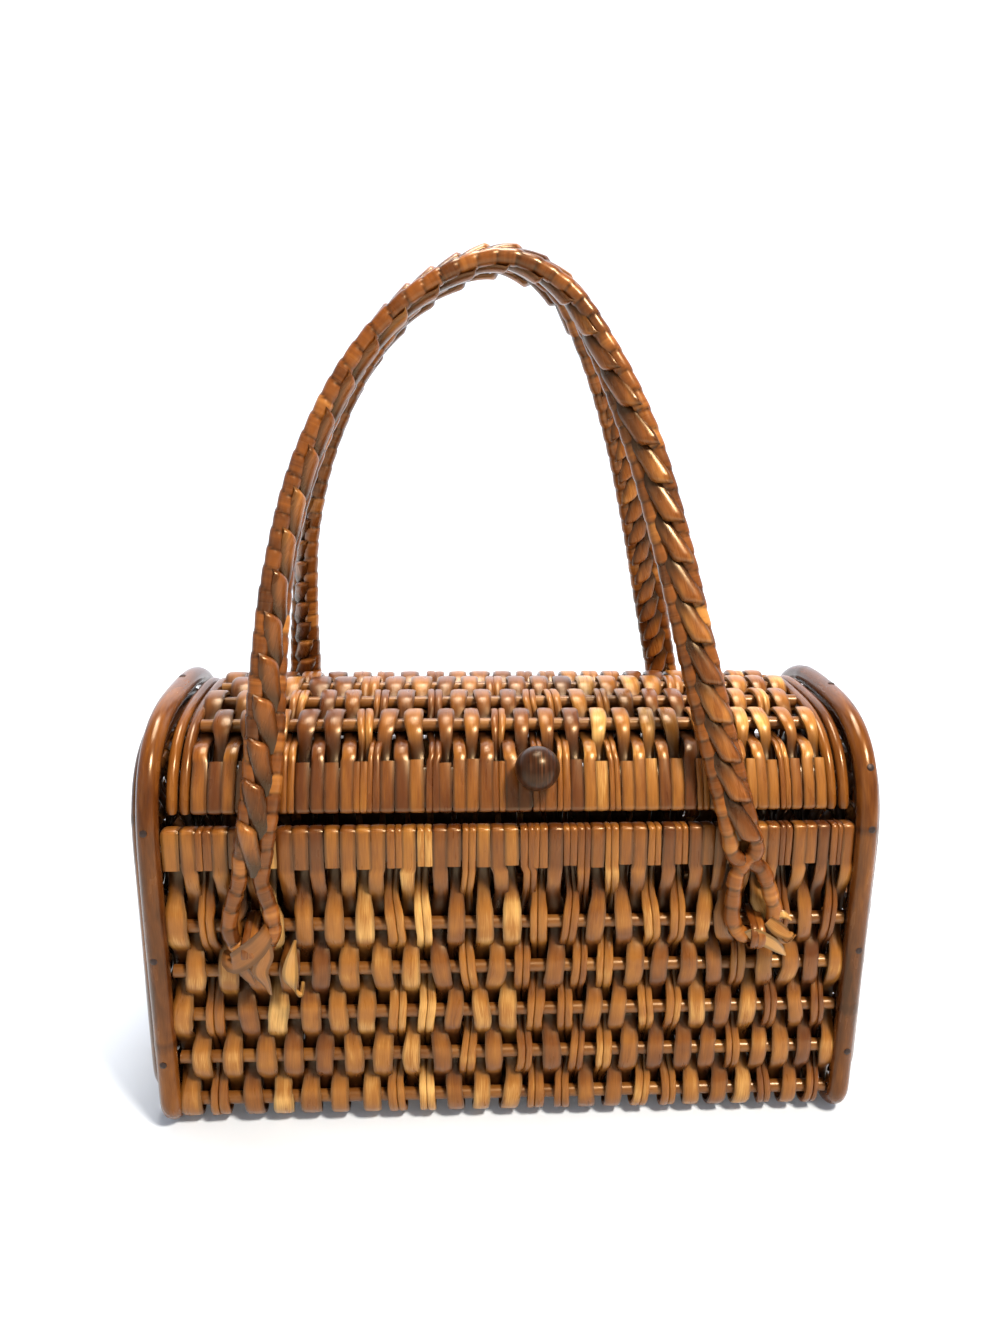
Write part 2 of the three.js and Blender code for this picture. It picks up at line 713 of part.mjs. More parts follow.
// A teardrop of rope, from the foot to the end of the band
function eyeLoop(foot, tip) {
  const base = new THREE.Vector2(foot.across, foot.height);
  const up = new THREE.Vector2(tip.x, tip.z).sub(base).normalize();
  const over = new THREE.Vector2(up.y, -up.x);
  const rows = [
    ...EYE_LINE.map((row) => ({ across: row.across, up: row.up })),
    ...EYE_LINE.slice(1).reverse().map((row) => ({ across: -row.across, up: row.up })),
  ];
  const points = rows.map((row) => {
    const place = base.clone()
      .addScaledVector(over, (row.across * EYE_WIDTH) / 2)
      .addScaledVector(up, row.up * EYE_LENGTH);
    return { x: place.x, z: place.y };
  });
  const curve = new FlatCurve(points, true);
  return new THREE.TubeGeometry(curve, EYE_STEPS, EYE_ROPE_DIAMETER / 2, THIN_SIDES, true);
}

// How far behind its foot plane a handle leans at a height
function leanAt(height) {
  const share = Math.max(0, height - HANDLE_LEAN_HEIGHT) / (HANDLE_TOP - HANDLE_LEAN_HEIGHT);
  return share * (HANDLE_PLANE - HANDLE_TOP_GAP / 2);
}

function handleSolid(sign) {
  const points = handlePoints();
  const section = new THREE.Shape(bandOutline());
  const band = new THREE.ExtrudeGeometry(section, {
    steps: HANDLE_STEPS,
    extrudePath: new BandCurve(points, false),
    bevelEnabled: false,
  });
  const handle = join([
    band,
    eyeLoop(feet[0], points[0]),
    eyeLoop(feet[1], points[points.length - 1]),
  ]);
  const place = handle.attributes.position;
  for (let i = 0; i < place.count; i += 1) {
    place.setY(i, place.getY(i) + sign * (HANDLE_PLANE - leanAt(place.getZ(i))));
  }
  handle.computeVertexNormals();
  return handle;
}

// The band's section: thickness by width, with rounded edges
function bandOutline() {
  const thick = HANDLE_THICKNESS / 2;
  const wide = HANDLE_WIDTH / 2;
  const outline = [];
  for (const point of roundOutline(new THREE.Vector2(0, 0), 1 / Math.cos(Math.PI / THIN_SIDES), THIN_SIDES)) {
    outline.push(new THREE.Vector2(
      thick * Math.sign(point.x) * Math.min(Math.abs(point.x), 1),
      wide * Math.sign(point.y) * Math.min(Math.abs(point.y), 1),
    ));
  }
  return outline;
}

function addHandles() {
  for (const [place, sign] of [["front", -1], ["back", 1]]) {
    addMesh(`handle_${place}`, handleSolid(sign), BRAID);
    for (const foot of feet) {
      addMesh(`handle_tie_${place}_${foot.side}`, tieRing(foot, sign), BRAID);
    }
  }
}

// A ring about an eye's lowest bar and the top rod
function tieRing(foot, sign) {
  const radius = EYE_ROPE_DIAMETER / 2 + TIE_SLACK;
  const bar = new THREE.Vector2(sign * HANDLE_PLANE, foot.height);
  const rod = new THREE.Vector2(sign * (WALL_DEPTH / 2), FRONT_ROD_HEIGHT);
  return beltRing(bar, rod, radius, TIE_THICKNESS, foot.across, TIE_WIDTH);
}

addEnd("left", -1);
addEnd("right", 1);
addBody();
addLid();
addHingeLoops();
addHandles();

export default model;
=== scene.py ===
"""Straw basket bag: woven skeins over cane rods, bent cane rims, a hinged lid, a knob and braided handles.

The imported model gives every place. Shapes are worked out in millimetres and written to meshes in metres.
"""
import math

import bpy
import numpy as np
from mathutils import Matrix, Vector


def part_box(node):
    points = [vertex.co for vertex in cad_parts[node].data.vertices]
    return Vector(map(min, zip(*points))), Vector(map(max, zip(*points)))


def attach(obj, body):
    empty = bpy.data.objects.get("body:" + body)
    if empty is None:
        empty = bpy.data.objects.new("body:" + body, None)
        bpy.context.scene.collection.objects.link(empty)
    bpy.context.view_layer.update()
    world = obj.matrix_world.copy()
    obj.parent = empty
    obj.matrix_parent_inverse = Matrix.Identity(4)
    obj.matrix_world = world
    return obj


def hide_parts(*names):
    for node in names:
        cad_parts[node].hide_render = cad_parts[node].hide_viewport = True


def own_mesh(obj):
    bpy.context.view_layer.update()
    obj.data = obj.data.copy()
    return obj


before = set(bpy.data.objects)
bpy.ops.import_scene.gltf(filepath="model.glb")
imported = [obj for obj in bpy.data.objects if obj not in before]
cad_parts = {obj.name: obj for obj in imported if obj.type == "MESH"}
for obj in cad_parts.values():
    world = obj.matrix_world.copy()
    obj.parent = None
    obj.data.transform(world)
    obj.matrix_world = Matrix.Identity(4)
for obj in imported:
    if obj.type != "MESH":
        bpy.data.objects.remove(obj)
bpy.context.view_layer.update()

MM = 0.001
SEED = 7
ACROSS = np.array([1.0, 0, 0])

# Loaf shape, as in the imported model
STRAIGHT_HEIGHT = 91.0
SHOULDER_POWER = 3.0
RIM_CORNER = 9.0
WALL_CORNER = 5.5
LINE_SAMPLES = 900

# Woven wall: the widths of its strands are shares of their pitch
ROD_RADIUS = 2.2
SKEIN = 1.5
WALL_HALF = ROD_RADIUS + SKEIN
WAVE_HEIGHT = ROD_RADIUS + SKEIN / 2
WAVE_STEPS = 11
WAVE_STEEPNESS = 1.15
STRAND_COUNT = 48
LEFT_PITCH_SHARE = 1.14
RIGHT_PITCH_SHARE = 0.88
PANEL_STRAND_COUNT = 18
DOUBLE_SHARE = 0.2
STRAND_DRIFT = 0.75
CALM_DRIFT = 0.35
CROWN_WIDTH = 1.29
DOUBLE_CROWN_LOSS = 0.12
CROSSING_WIDTH = 1.06
RAIL_STRIP_WIDTH = 0.98
FRONT_TAPER = 0.1
TAPER_LENGTH = 13.0
BACK_FILL = 1.2
PAIR_FILL = 0.95
BACK_PAIR_FILL = 1.08
CROWN_THICK = 2.0

# Bent canes and nails
BINDING_RADIUS = 3.5
HOOP_RADIUS = 4.0
CANE_SHRINK = 0.985
NAIL_HEIGHTS = {"left": [108, 65, 27], "right": [124, 107, 65, 27]}
NAIL_RADIUS = 1.15

# Wrapped rails
RAIL_HALF = 3.2
WRAP = 1.2
WRAP_HEIGHT = RAIL_HALF - WRAP / 2
WRAP_CORNER = 1.1
LID_RAIL_WIDTH = 15.0

# Knob
KNOB_FROM_EDGE = 11.5
KNOB_GAP = 0.3
KNOB_FLAT = 0.9
KNOB_STEM_RADIUS = 2.5

# Hinge loops and ties, with half the width that the strands leave free for them
LOOP_INSIDE = 3.85
LOOP_THICKNESS = 1.4
LOOP_STRIP_WIDTH = 2.9
TIE_SLACK = 0.9
TIE_THICKNESS = 1.4
LOOP_CLEAR = 3.3
TIE_CLEAR = 3.0
PARTING_REACH = 17.0
LOOSE_THICKNESS = 0.45

# Handles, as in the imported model
HANDLE_WIDTH = 12.5
HANDLE_THICKNESS = 6.4
HANDLE_TOP = 281.5
HANDLE_TOP_GAP = 16.5
HANDLE_LEAN_HEIGHT = 112.0
EYE_LENGTH = 30.0
EYE_WIDTH = 13.3
EYE_ROPE = 5.4
FOOT_LEFT = (-82.0, 69.7)
FOOT_RIGHT = (78.0, 72.2)
TOP_ROD_HEIGHT = 73.7
HANDLE_LINE = [
    {"across": -0.99, "rise": 0.1, "twist": 0},
    {"across": -0.935, "rise": 0.24, "twist": 0},
    {"across": -0.905, "rise": 0.41, "twist": 40},
    {"across": -0.86, "rise": 0.56, "twist": 60},
    {"across": -0.755, "rise": 0.71, "twist": 62},
    {"across": -0.56, "rise": 0.855, "twist": 70},
    {"across": -0.31, "rise": 0.955, "twist": 85},
    {"across": -0.02, "rise": 1, "twist": 90},
    {"across": 0.21, "rise": 0.962, "twist": 85},
    {"across": 0.37, "rise": 0.87, "twist": 60},
    {"across": 0.52, "rise": 0.74, "twist": 25},
    {"across": 0.635, "rise": 0.59, "twist": 5},
    {"across": 0.735, "rise": 0.43, "twist": 0},
    {"across": 0.85, "rise": 0.25, "twist": 0},
    {"across": 0.955, "rise": 0.1, "twist": 0},
]
EYE_LINE = [
    {"across": 0.0, "up": 0.0},
    {"across": 0.6, "up": 0.015},
    {"across": 1.0, "up": 0.18},
    {"across": 0.9, "up": 0.45},
    {"across": 0.5, "up": 0.78},
]

# Braid: wrapped ropes along both edges, and folded tongues that lap over one another between them
ROPE_WRAP = 6.2
TONGUE_PITCH = 12.6
INNER_TONGUE_PITCH = 8.2
TONGUE_WIDTH = 7.2
TONGUE_LAP = 1.35
TONGUE_SLANT = 0.32


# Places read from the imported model, in millimetres

def corners(node):
    low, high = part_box(node)
    return np.array(low) / MM, np.array(high) / MM


def centre(node):
    low, high = corners(node)
    return (low + high) / 2


def unit(vectors):
    return vectors / np.linalg.norm(vectors, axis=-1, keepdims=True)


def lengths(points):
    """How far each point is along the line through them."""
    return np.concatenate([[0], np.cumsum(np.linalg.norm(np.diff(points, axis=0), axis=1))])


# Measured lines

class Line:
    """A line in (y, z) with the distance along it, called the reach."""

    def __init__(self, points):
        self.points = np.asarray(points, float)
        self.reach = lengths(self.points)
        self.length = self.reach[-1]

    def at(self, reach):
        whole = np.mod(reach, self.length)
        y = np.interp(whole, self.reach, self.points[:, 0])
        z = np.interp(whole, self.reach, self.points[:, 1])
        return np.stack([y, z], -1)

    def out(self, reach):
        step = 0.4
        along = unit(self.at(reach + step) - self.at(reach - step))
        return np.stack([along[..., 1], -along[..., 0]], -1)

    def spot(self, reach):
        """The place and the outward way at one reach."""
        return self.at(np.array([reach]))[0], self.out(np.array([reach]))[0]

    def nearest(self, y, z):
        away = np.hypot(self.points[:, 0] - y, self.points[:, 1] - z)
        return self.reach[np.argmin(away)]


def loaf_line(depth, bottom, top, corner):
    """From the middle of the top to the front, down, along the base and up the back."""
    half = depth / 2
    angle = np.linspace(math.pi / 2, 0, LINE_SAMPLES)
    y = -half * np.cos(angle).clip(0) ** (2 / SHOULDER_POWER)
    z = STRAIGHT_HEIGHT + (top - STRAIGHT_HEIGHT) * np.sin(angle).clip(0) ** (2 / SHOULDER_POWER)
    turn = np.linspace(math.pi, 1.5 * math.pi, LINE_SAMPLES // 4)
    corner_y = -half + corner + corner * np.cos(turn)
    corner_z = bottom + corner + corner * np.sin(turn)
    straight_z = np.linspace(STRAIGHT_HEIGHT, bottom + corner, LINE_SAMPLES)
    base_y = np.linspace(-half + corner, 0, LINE_SAMPLES // 2)
    front = np.stack([
        np.concatenate([y, np.full(LINE_SAMPLES, -half), corner_y, base_y]),
        np.concatenate([z, straight_z, corner_z, np.full(LINE_SAMPLES // 2, bottom)]),
    ], -1)
    back = front[::-1] * np.array([-1, 1])
    return Line(np.concatenate([front, back]))


def wall_line():
    low, high = corners("body_weave")
    top = corners("lid_weave")[1][2]
    return loaf_line(high[1] - low[1] - 2 * WALL_HALF, low[2] + WALL_HALF, top - WALL_HALF, WALL_CORNER)


def cane_line(node, radius):
    low, high = corners(node)
    depth = high[1] - low[1] - 2 * radius
    return loaf_line(depth, low[2] + radius * 0.95, high[2] - radius, RIM_CORNER)


# Building meshes from many swept strips

def lens_outline(sides, flat=0.85):
    angle = (np.arange(sides) + 0.5) / sides * 2 * math.pi
    across = np.sign(np.cos(angle)) * np.abs(np.cos(angle)) ** flat
    through = np.sign(np.sin(angle)) * np.abs(np.sin(angle)) ** flat
    return np.stack([across / np.abs(across).max(), through / np.abs(through).max()], -1)


def round_outline(sides):
    angle = np.arange(sides) / sides * 2 * math.pi
    return np.stack([np.cos(angle), np.sin(angle)], -1)


LENS = lens_outline(10, 0.62)
ROUND = round_outline(16)
ROUND_FINE = round_outline(24)


def rings_about(middle, side, face, over, through):
    """Rings of points about middle, with their distances along side and face."""
    side, face = (np.broadcast_to(way, middle.shape)[:, None, :] for way in (side, face))
    return middle[:, None, :] + side * over[..., None] + face * through[..., None]


class Batch:
    """Swept pieces collected into one mesh, with values that the materials read."""

    def __init__(self):
        self.points = []
        self.quads = []
        self.triangles = []
        self.fibre = []
        # depth and edge carry painted shade: the materials darken the colour of low places and of strip sides
        # by them.
        self.values = {"tone": [], "depth": [], "edge": []}
        self.count = 0

    def sweep(self, middle, side, face, width, thick, outline, tone=0.5, depth=1.0, closed=False):
        """Sweeps an outline along middle. side and face are the directions of its width and thickness."""
        stations = len(middle)
        width = np.broadcast_to(width, (stations,))
        thick = np.broadcast_to(thick, (stations,))
        over = outline[None, :, 0] * width[:, None] / 2
        through = outline[None, :, 1] * thick[:, None] / 2
        rings = rings_about(middle, side, face, over, through)
        # Painted shade along the strip's sides, stronger on flat, wide strips.
        edge = np.abs(outline[None, :, 0]) * np.clip(1 - thick / width, 0, 1)[:, None] * 1.6
        self.add_rings(rings, middle, over + 0.37 * through, tone, depth, closed, np.clip(edge, 0, 1))

    def add_rings(self, rings, middle, across, tone, depth, closed=False, edge=0.0):
        stations, sides = rings.shape[:2]
        order = np.arange(stations if closed else stations - 1)
        here = self.count + order[:, None] * sides + np.arange(sides)[None, :]
        beside = self.count + order[:, None] * sides + (np.arange(sides)[None, :] + 1) % sides
        ahead = ((order + 1) % stations)[:, None] * sides + self.count
        next_here = ahead + np.arange(sides)[None, :]
        next_beside = ahead + (np.arange(sides)[None, :] + 1) % sides
        quads = np.stack([here, beside, next_beside, next_here], -1).reshape(-1, 4)
        fan = np.stack([np.zeros(sides - 2, int), np.arange(1, sides - 1), np.arange(2, sides)], -1)
        start = self.count + fan[:, ::-1]
        end = self.count + (stations - 1) * sides + fan
        caps = np.concatenate([start, end])
        turned = rings[0, 1] - rings[0, 0]
        inward = middle[0] - (rings[0, 0] + rings[0, 1]) / 2
        ahead_way = middle[1] - middle[0]
        if np.dot(np.cross(turned, ahead_way), inward) > 0:
            quads = quads[:, ::-1]
            caps = caps[:, ::-1]
        self.quads.append(quads)
        if not closed:
            self.triangles.append(caps)
        seed = (self.count * 0.6180339) % 97
        fibre = np.stack([
            np.broadcast_to(across, (stations, sides)),
            np.broadcast_to(lengths(middle)[:, None], (stations, sides)),
            np.full((stations, sides), seed),
        ], -1)
        self.points.append(rings.reshape(-1, 3))
        self.fibre.append(fibre.reshape(-1, 3))
        for label, value in (("tone", tone), ("depth", depth), ("edge", edge)):
            value = np.asarray(value, float)
            value = value if value.ndim == 2 else value.reshape(-1, 1)
            self.values[label].append(np.broadcast_to(value, (stations, sides)).reshape(-1))
        self.count += stations * sides

    def to_object(self, name, body, slot, material, replaces=()):
        points = np.concatenate(self.points) * MM
        quads = np.concatenate(self.quads)
        triangles = np.concatenate(self.triangles) if self.triangles else np.zeros((0, 3), int)
        mesh = bpy.data.meshes.new(name)
        mesh.vertices.add(len(points))
        mesh.vertices.foreach_set("co", points.astype(np.float32).reshape(-1))
        loops = np.concatenate([quads.reshape(-1), triangles.reshape(-1)]).astype(np.int32)
        totals = np.concatenate([np.full(len(quads), 4), np.full(len(triangles), 3)]).astype(np.int32)
        starts = np.concatenate([[0], np.cumsum(totals)[:-1]]).astype(np.int32)
        mesh.loops.add(len(loops))
        mesh.loops.foreach_set("vertex_index", loops)
        mesh.polygons.add(len(totals))
        mesh.polygons.foreach_set("loop_start", starts)
        mesh.update(calc_edges=True)
        mesh.validate()
        fibre = mesh.attributes.new("fibre", "FLOAT_VECTOR", "POINT")
        fibre.data.foreach_set("vector", np.concatenate(self.fibre).astype(np.float32).reshape(-1))
        for label, values in self.values.items():
            layer = mesh.attributes.new(label, "FLOAT", "POINT")
            layer.data.foreach_set("value", np.concatenate(values).astype(np.float32))
        mesh.polygons.foreach_set("use_smooth", np.ones(len(totals), bool))
        mesh.set_sharp_from_angle(angle=math.radians(48))
        piece = bpy.data.objects.new(name, mesh)
        bpy.context.scene.collection.objects.link(piece)
        mesh.materials.append(material)
        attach(piece, body)
        if replaces:
            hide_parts(*replaces)
        return piece


def tangents(middle, closed=False):
    if closed:
        return unit(np.roll(middle, -1, axis=0) - np.roll(middle, 1, axis=0))
    return unit(np.gradient(middle, axis=0))


def sweep_flat(batch, middle, side_way, width, thick, outline=LENS, **values):
    """A strip whose width lies as near as it can to side_way."""
    along = tangents(middle, values.get("closed", False))
    side_way = np.broadcast_to(side_way, middle.shape)
    face = unit(np.cross(along, side_way))
    side = np.cross(face, along)
    batch.sweep(middle, side, face, width, thick, outline, **values)


def smooth_noise(rng, count, size):
    """A gently wandering row of numbers."""
    knots = rng.normal(0, size, max(3, count // 2 + 2))
    return np.interp(np.linspace(0, len(knots) - 1, count), np.arange(len(knots)), knots)


def catmull(points, per_span=12):
    """Centripetal Catmull-Rom through points of any dimension."""
    points = np.asarray(points, float)
    made = []
    for i in range(len(points) - 1):
        p1, p2 = points[i], points[i + 1]
        p0 = points[i - 1] if i > 0 else 2 * p1 - p2
        p3 = points[i + 2] if i + 2 < len(points) else 2 * p2 - p1
        d0, d1, d2 = (math.sqrt(np.linalg.norm(b - a)) for a, b in ((p0, p1), (p1, p2), (p2, p3)))
        m1 = ((p1 - p0) / d0 - (p2 - p0) / (d0 + d1) + (p2 - p1) / d1) * d1
        m2 = ((p2 - p1) / d1 - (p3 - p1) / (d1 + d2) + (p3 - p2) / d2) * d1
        t = (np.arange(per_span) / per_span)[:, None]
        made.append(p1 + m1 * t + (-3 * p1 + 3 * p2 - 2 * m1 - m2) * t ** 2
                    + (2 * p1 - 2 * p2 + m1 + m2) * t ** 3)
    made.append(points[-1:])
    return np.concatenate(made)


def respaced(points, step, closed=False):
    if closed:
        points = np.concatenate([points, points[:1]])
    away = lengths(points)
    count = max(3, int(round(away[-1] / step)) + 1)
    wanted = np.linspace(0, away[-1], count)
    made = np.stack([np.interp(wanted, away, points[:, k]) for k in range(points.shape[1])], -1)
    return made[:-1] if closed else made


# Materials

class Recipe:
    """A material's nodes, with a short call for each kind of node."""

    def __init__(self, name):
        self.material = bpy.data.materials.new(name)
        self.material.use_nodes = True
        self.nodes = self.material.node_tree.nodes
        self.shader = self.nodes["Principled BSDF"]

    def link(self, value, socket):
        self.material.node_tree.links.new(value, socket)

    def attribute(self, name, output="Fac"):
        node = self.nodes.new("ShaderNodeAttribute")
        node.attribute_name = name
        return node.outputs[output]

    def math(self, operation, first, second):
        node = self.nodes.new("ShaderNodeMath")
        node.operation = operation
        for socket, value in zip(node.inputs, (first, second)):
            if isinstance(value, (int, float)):
                socket.default_value = value
            else:
                self.link(value, socket)
        return node.outputs[0]

    def spread(self, value, low, high, start=0.0, smooth=False):
        """Spreads start to 1 over low to high."""
        node = self.nodes.new("ShaderNodeMapRange")
        node.interpolation_type = "SMOOTHSTEP" if smooth else "LINEAR"
        node.inputs["From Min"].default_value = start
        node.inputs["To Min"].default_value = low
        node.inputs["To Max"].default_value = high
        self.link(value, node.inputs["Value"])
        return node.outputs["Result"]

    def ramp(self, factor, stops):
        node = self.nodes.new("ShaderNodeValToRGB")
        while len(node.color_ramp.elements) < len(stops):
            node.color_ramp.elements.new(0.5)
        for element, (position, colour) in zip(node.color_ramp.elements, stops):
            element.position = position
            element.color = (*colour, 1)
        self.link(factor, node.inputs["Fac"])
        return node.outputs["Color"]

    def fibre_noise(self, across, along, detail):
        """Noise stretched along the fibres of a strip."""
        stretch = self.nodes.new("ShaderNodeVectorMath")
        stretch.operation = "MULTIPLY"
        stretch.inputs[1].default_value = (across, along, 1.7)
        self.link(self.attribute("fibre", "Vector"), stretch.inputs[0])
        noise = self.nodes.new("ShaderNodeTexNoise")
        noise.inputs["Scale"].default_value = 1.0
        noise.inputs["Detail"].default_value = detail
        noise.inputs["Roughness"].default_value = 0.55
        self.link(stretch.outputs["Vector"], noise.inputs["Vector"])
        return noise.outputs["Fac"]


def plant_material(name, stops, gloss, coat, streak=0.35, mottle=0.4, recess=0.22, bump=0.25, gleam=0.6):
    """Lacquered plant strip: colour by strip, streaks along its fibres, mottling, and painted shade in
    recesses and along strip edges.

    gloss is the roughness, recess the brightness of the painted shade in the deepest places, gleam the
    strength of reflections.
    """
    recipe = Recipe(name)
    shader = recipe.shader
    fine = recipe.fibre_noise(5.5, 0.16, 3.0)
    broad = recipe.fibre_noise(0.35, 0.07, 2.0)
    streaks = recipe.math("MULTIPLY", recipe.math("SUBTRACT", fine, 0.5), streak)
    patches = recipe.math("MULTIPLY", recipe.math("SUBTRACT", broad, 0.5), mottle)
    level = recipe.math("ADD", recipe.attribute("tone"), recipe.math("ADD", streaks, patches))
    # Painted shade: the colour is darkened by the depth value, down to recess, and by the edge value at strip
    # sides.
    shade = recipe.spread(recipe.attribute("depth"), recess, 1.0)
    edge_shade = recipe.spread(recipe.attribute("edge"), 1.0, 0.45, start=0.62, smooth=True)
    mix = recipe.nodes.new("ShaderNodeVectorMath")
    mix.operation = "SCALE"
    recipe.link(recipe.ramp(level, stops), mix.inputs[0])
    recipe.link(recipe.math("MULTIPLY", shade, edge_shade), mix.inputs["Scale"])
    recipe.link(mix.outputs["Vector"], shader.inputs["Base Color"])
    recipe.link(recipe.spread(broad, gloss - 0.08, gloss + 0.16), shader.inputs["Roughness"])
    shader.inputs["Specular IOR Level"].default_value = gleam
    shader.inputs["Specular Tint"].default_value = (1.0, 0.7, 0.4, 1)
    shader.inputs["Coat Weight"].default_value = coat
    shader.inputs["Coat Roughness"].default_value = 0.18
    relief = recipe.nodes.new("ShaderNodeBump")
    relief.inputs["Strength"].default_value = bump
    relief.inputs["Distance"].default_value = 0.12 * MM
    recipe.link(fine, relief.inputs["Height"])
    recipe.link(relief.outputs["Normal"], shader.inputs["Normal"])
    return recipe.material


DARK_BROWN = (0.035, 0.009, 0.002)
RED_BROWN = (0.085, 0.021, 0.004)
WARM_BROWN = (0.165, 0.048, 0.007)
HONEY = (0.295, 0.108, 0.016)
GOLD = (0.66, 0.37, 0.11)

skein_material = plant_material(
    "lacquered_skein", [(0.0, RED_BROWN), (0.3, WARM_BROWN), (0.65, HONEY), (1.0, GOLD)],
    0.27, 0.08, streak=0.6, mottle=0.5, recess=0.16)
cane_material = plant_material(
    "round_cane",
    [(0.0, DARK_BROWN), (0.3, (0.09, 0.024, 0.004)), (0.65, (0.19, 0.06, 0.008)), (1.0, (0.32, 0.125, 0.02))],
    0.2, 0.1, streak=0.4, mottle=0.8, bump=0.12, gleam=0.45)
rod_material = plant_material(
    "peeled_rod", [(0.0, RED_BROWN), (0.5, (0.2, 0.068, 0.012)), (1.0, (0.34, 0.14, 0.03))],
    0.32, 0.15, bump=0.15)
braid_material = plant_material(
    "palm_braid",
    [(0, DARK_BROWN), (0.3, (0.09, 0.023, 0.004)), (0.62, (0.195, 0.054, 0.008)), (1, (0.46, 0.18, 0.036))],
    0.24, 0.06, streak=0.6, mottle=0.6, recess=0.08)
raffia_material = plant_material(
    "torn_straw", [(0.0, RED_BROWN), (0.5, (0.24, 0.085, 0.016)), (1.0, (0.5, 0.27, 0.075))],
    0.3, 0.2, streak=0.5)
knob_material = plant_material(
    "dark_turned_wood", [(0, (0.012, 0.004, 0.002)), (0.45, (0.05, 0.015, 0.005)), (1, (0.2, 0.07, 0.022))],
    0.26, 0.08, streak=2.2, mottle=0.3, bump=0.2, gleam=0.3)


def iron_material():
    recipe = Recipe("nail_iron")
    noise = recipe.nodes.new("ShaderNodeTexNoise")
    noise.inputs["Scale"].default_value = 900
    rust = recipe.ramp(noise.outputs["Fac"], [(0.3, (0.015, 0.008, 0.006)), (0.7, (0.06, 0.035, 0.025))])
    recipe.link(rust, recipe.shader.inputs["Base Color"])
    recipe.shader.inputs["Metallic"].default_value = 0.6
    recipe.shader.inputs["Roughness"].default_value = 0.5
    return recipe.material


nail_material = iron_material()

wall = wall_line()


def rod_reaches(name):
    return [wall.nearest(*centre(f"{name}_{i + 1}")[1:]) for i in range(5)]


def at_height(height, back):
    """The reach where the front or back wall is at a height."""
    half = len(wall.points) // 2
    rows = slice(half, None) if back else slice(0, half)
    return wall.reach[rows][np.argmin(np.abs(wall.points[rows, 1] - height))]


front_rods = rod_reaches("rod_front")
back_rods = rod_reaches("rod_back")
body_rods = sorted(front_rods + rod_reaches("rod_base") + back_rods)
hinge_reach = wall.nearest(*centre("lid_hinge_rod")[1:]) - wall.length
lid_rods = sorted(r - wall.length if r > wall.length / 2 else r for r in rod_reaches("lid_rod"))
front_rail_bottom = at_height(corners("front_rail")[0][2], False)
front_rail_top = at_height(corners("front_rail")[1][2], False)
back_rail_bottom = at_height(corners("back_rail")[0][2], True)
back_rail_top = at_height(corners("back_rail")[1][2], True)
lid_front = at_height(corners("lid_front_rail")[0][2], False)
lid_rail_back = lid_front - LID_RAIL_WIDTH

loop_places = [centre(f"hinge_loop_{i + 1}")[0] for i in range(3)]
tie_places = [FOOT_LEFT[0], FOOT_RIGHT[0]]


# Strands

def wave(knots):
    """Reach and height through the rods: a rounded wave that passes over one and under the next."""
    reaches, heights = [], []
    t = np.arange(WAVE_STEPS) / WAVE_STEPS
    fall = 0.5 - 0.5 * np.tanh(WAVE_STEEPNESS * np.cos(math.pi * t)) / math.tanh(WAVE_STEEPNESS)
    for (r0, n0), (r1, n1) in zip(knots[:-1], knots[1:]):
        reaches.append(r0 + (r1 - r0) * t)
        heights.append(n0 + (n1 - n0) * fall)
    return np.stack([np.concatenate(reaches), np.concatenate(heights)], -1)


def fold(edge, top, way, side, overhang):
    """The wrap about a rail, from its free end over the rail's top to its wall side.

    way is +1 where the reach grows from the rail's top towards the wall, and side is +1 where the strand
    leaves the rail on the outside.
    """
    crest = top + way * WRAP / 2
    turn = np.linspace(0, math.pi / 2, 4)
    first = np.stack([
        crest + way * WRAP_CORNER * (1 - np.sin(turn)),
        -side * (WRAP_HEIGHT - WRAP_CORNER * (1 - np.cos(turn))),
    ], -1)
    second = first[::-1] * np.array([1, -1])
    free = np.array([[edge + way * overhang, -side * WRAP_HEIGHT], [(edge + top) / 2, -side * WRAP_HEIGHT]])
    return np.concatenate([free, first, second, [[(edge + top) / 2, side * WRAP_HEIGHT]]])


def hinge_wrap(side):
    """The tail that goes about the lid's back rod."""
    turn = np.linspace(0, math.pi, 8)[1:-1]
    tail = np.array([
        [hinge_reach + 6, -side * (WAVE_HEIGHT - 0.3)],
        [hinge_reach + 0.2, -side * WAVE_HEIGHT],
    ])
    around = np.stack([
        hinge_reach - WAVE_HEIGHT * np.sin(turn),
        -side * WAVE_HEIGHT * np.cos(turn),
    ], -1)
    return np.concatenate([tail, around])


def parted(across, reach, places, clear, near, far, targets):
    """Pushes strands sideways where a loop or tie passes between them."""
    away = np.min([np.abs(reach - target) for target in targets], axis=0)
    weight = 1 - np.clip((away - near) / (far - near), 0, 1)
    weight = weight * weight * (3 - 2 * weight)
    shift = 0
    for place in places:
        gap = across - place
        shift = shift + np.sign(gap + 1e-9) * clear * np.clip(1 - np.abs(gap) / PARTING_REACH, 0, 1)
    return across + shift * weight


def strand_places(rng, half, count):
    shares = np.linspace(LEFT_PITCH_SHARE, RIGHT_PITCH_SHARE, count) * rng.uniform(0.93, 1.07, count)
    widths = shares / shares.sum() * 2 * half
    edges = np.concatenate([[0], np.cumsum(widths)]) - half
    return (edges[:-1] + edges[1:]) / 2, widths


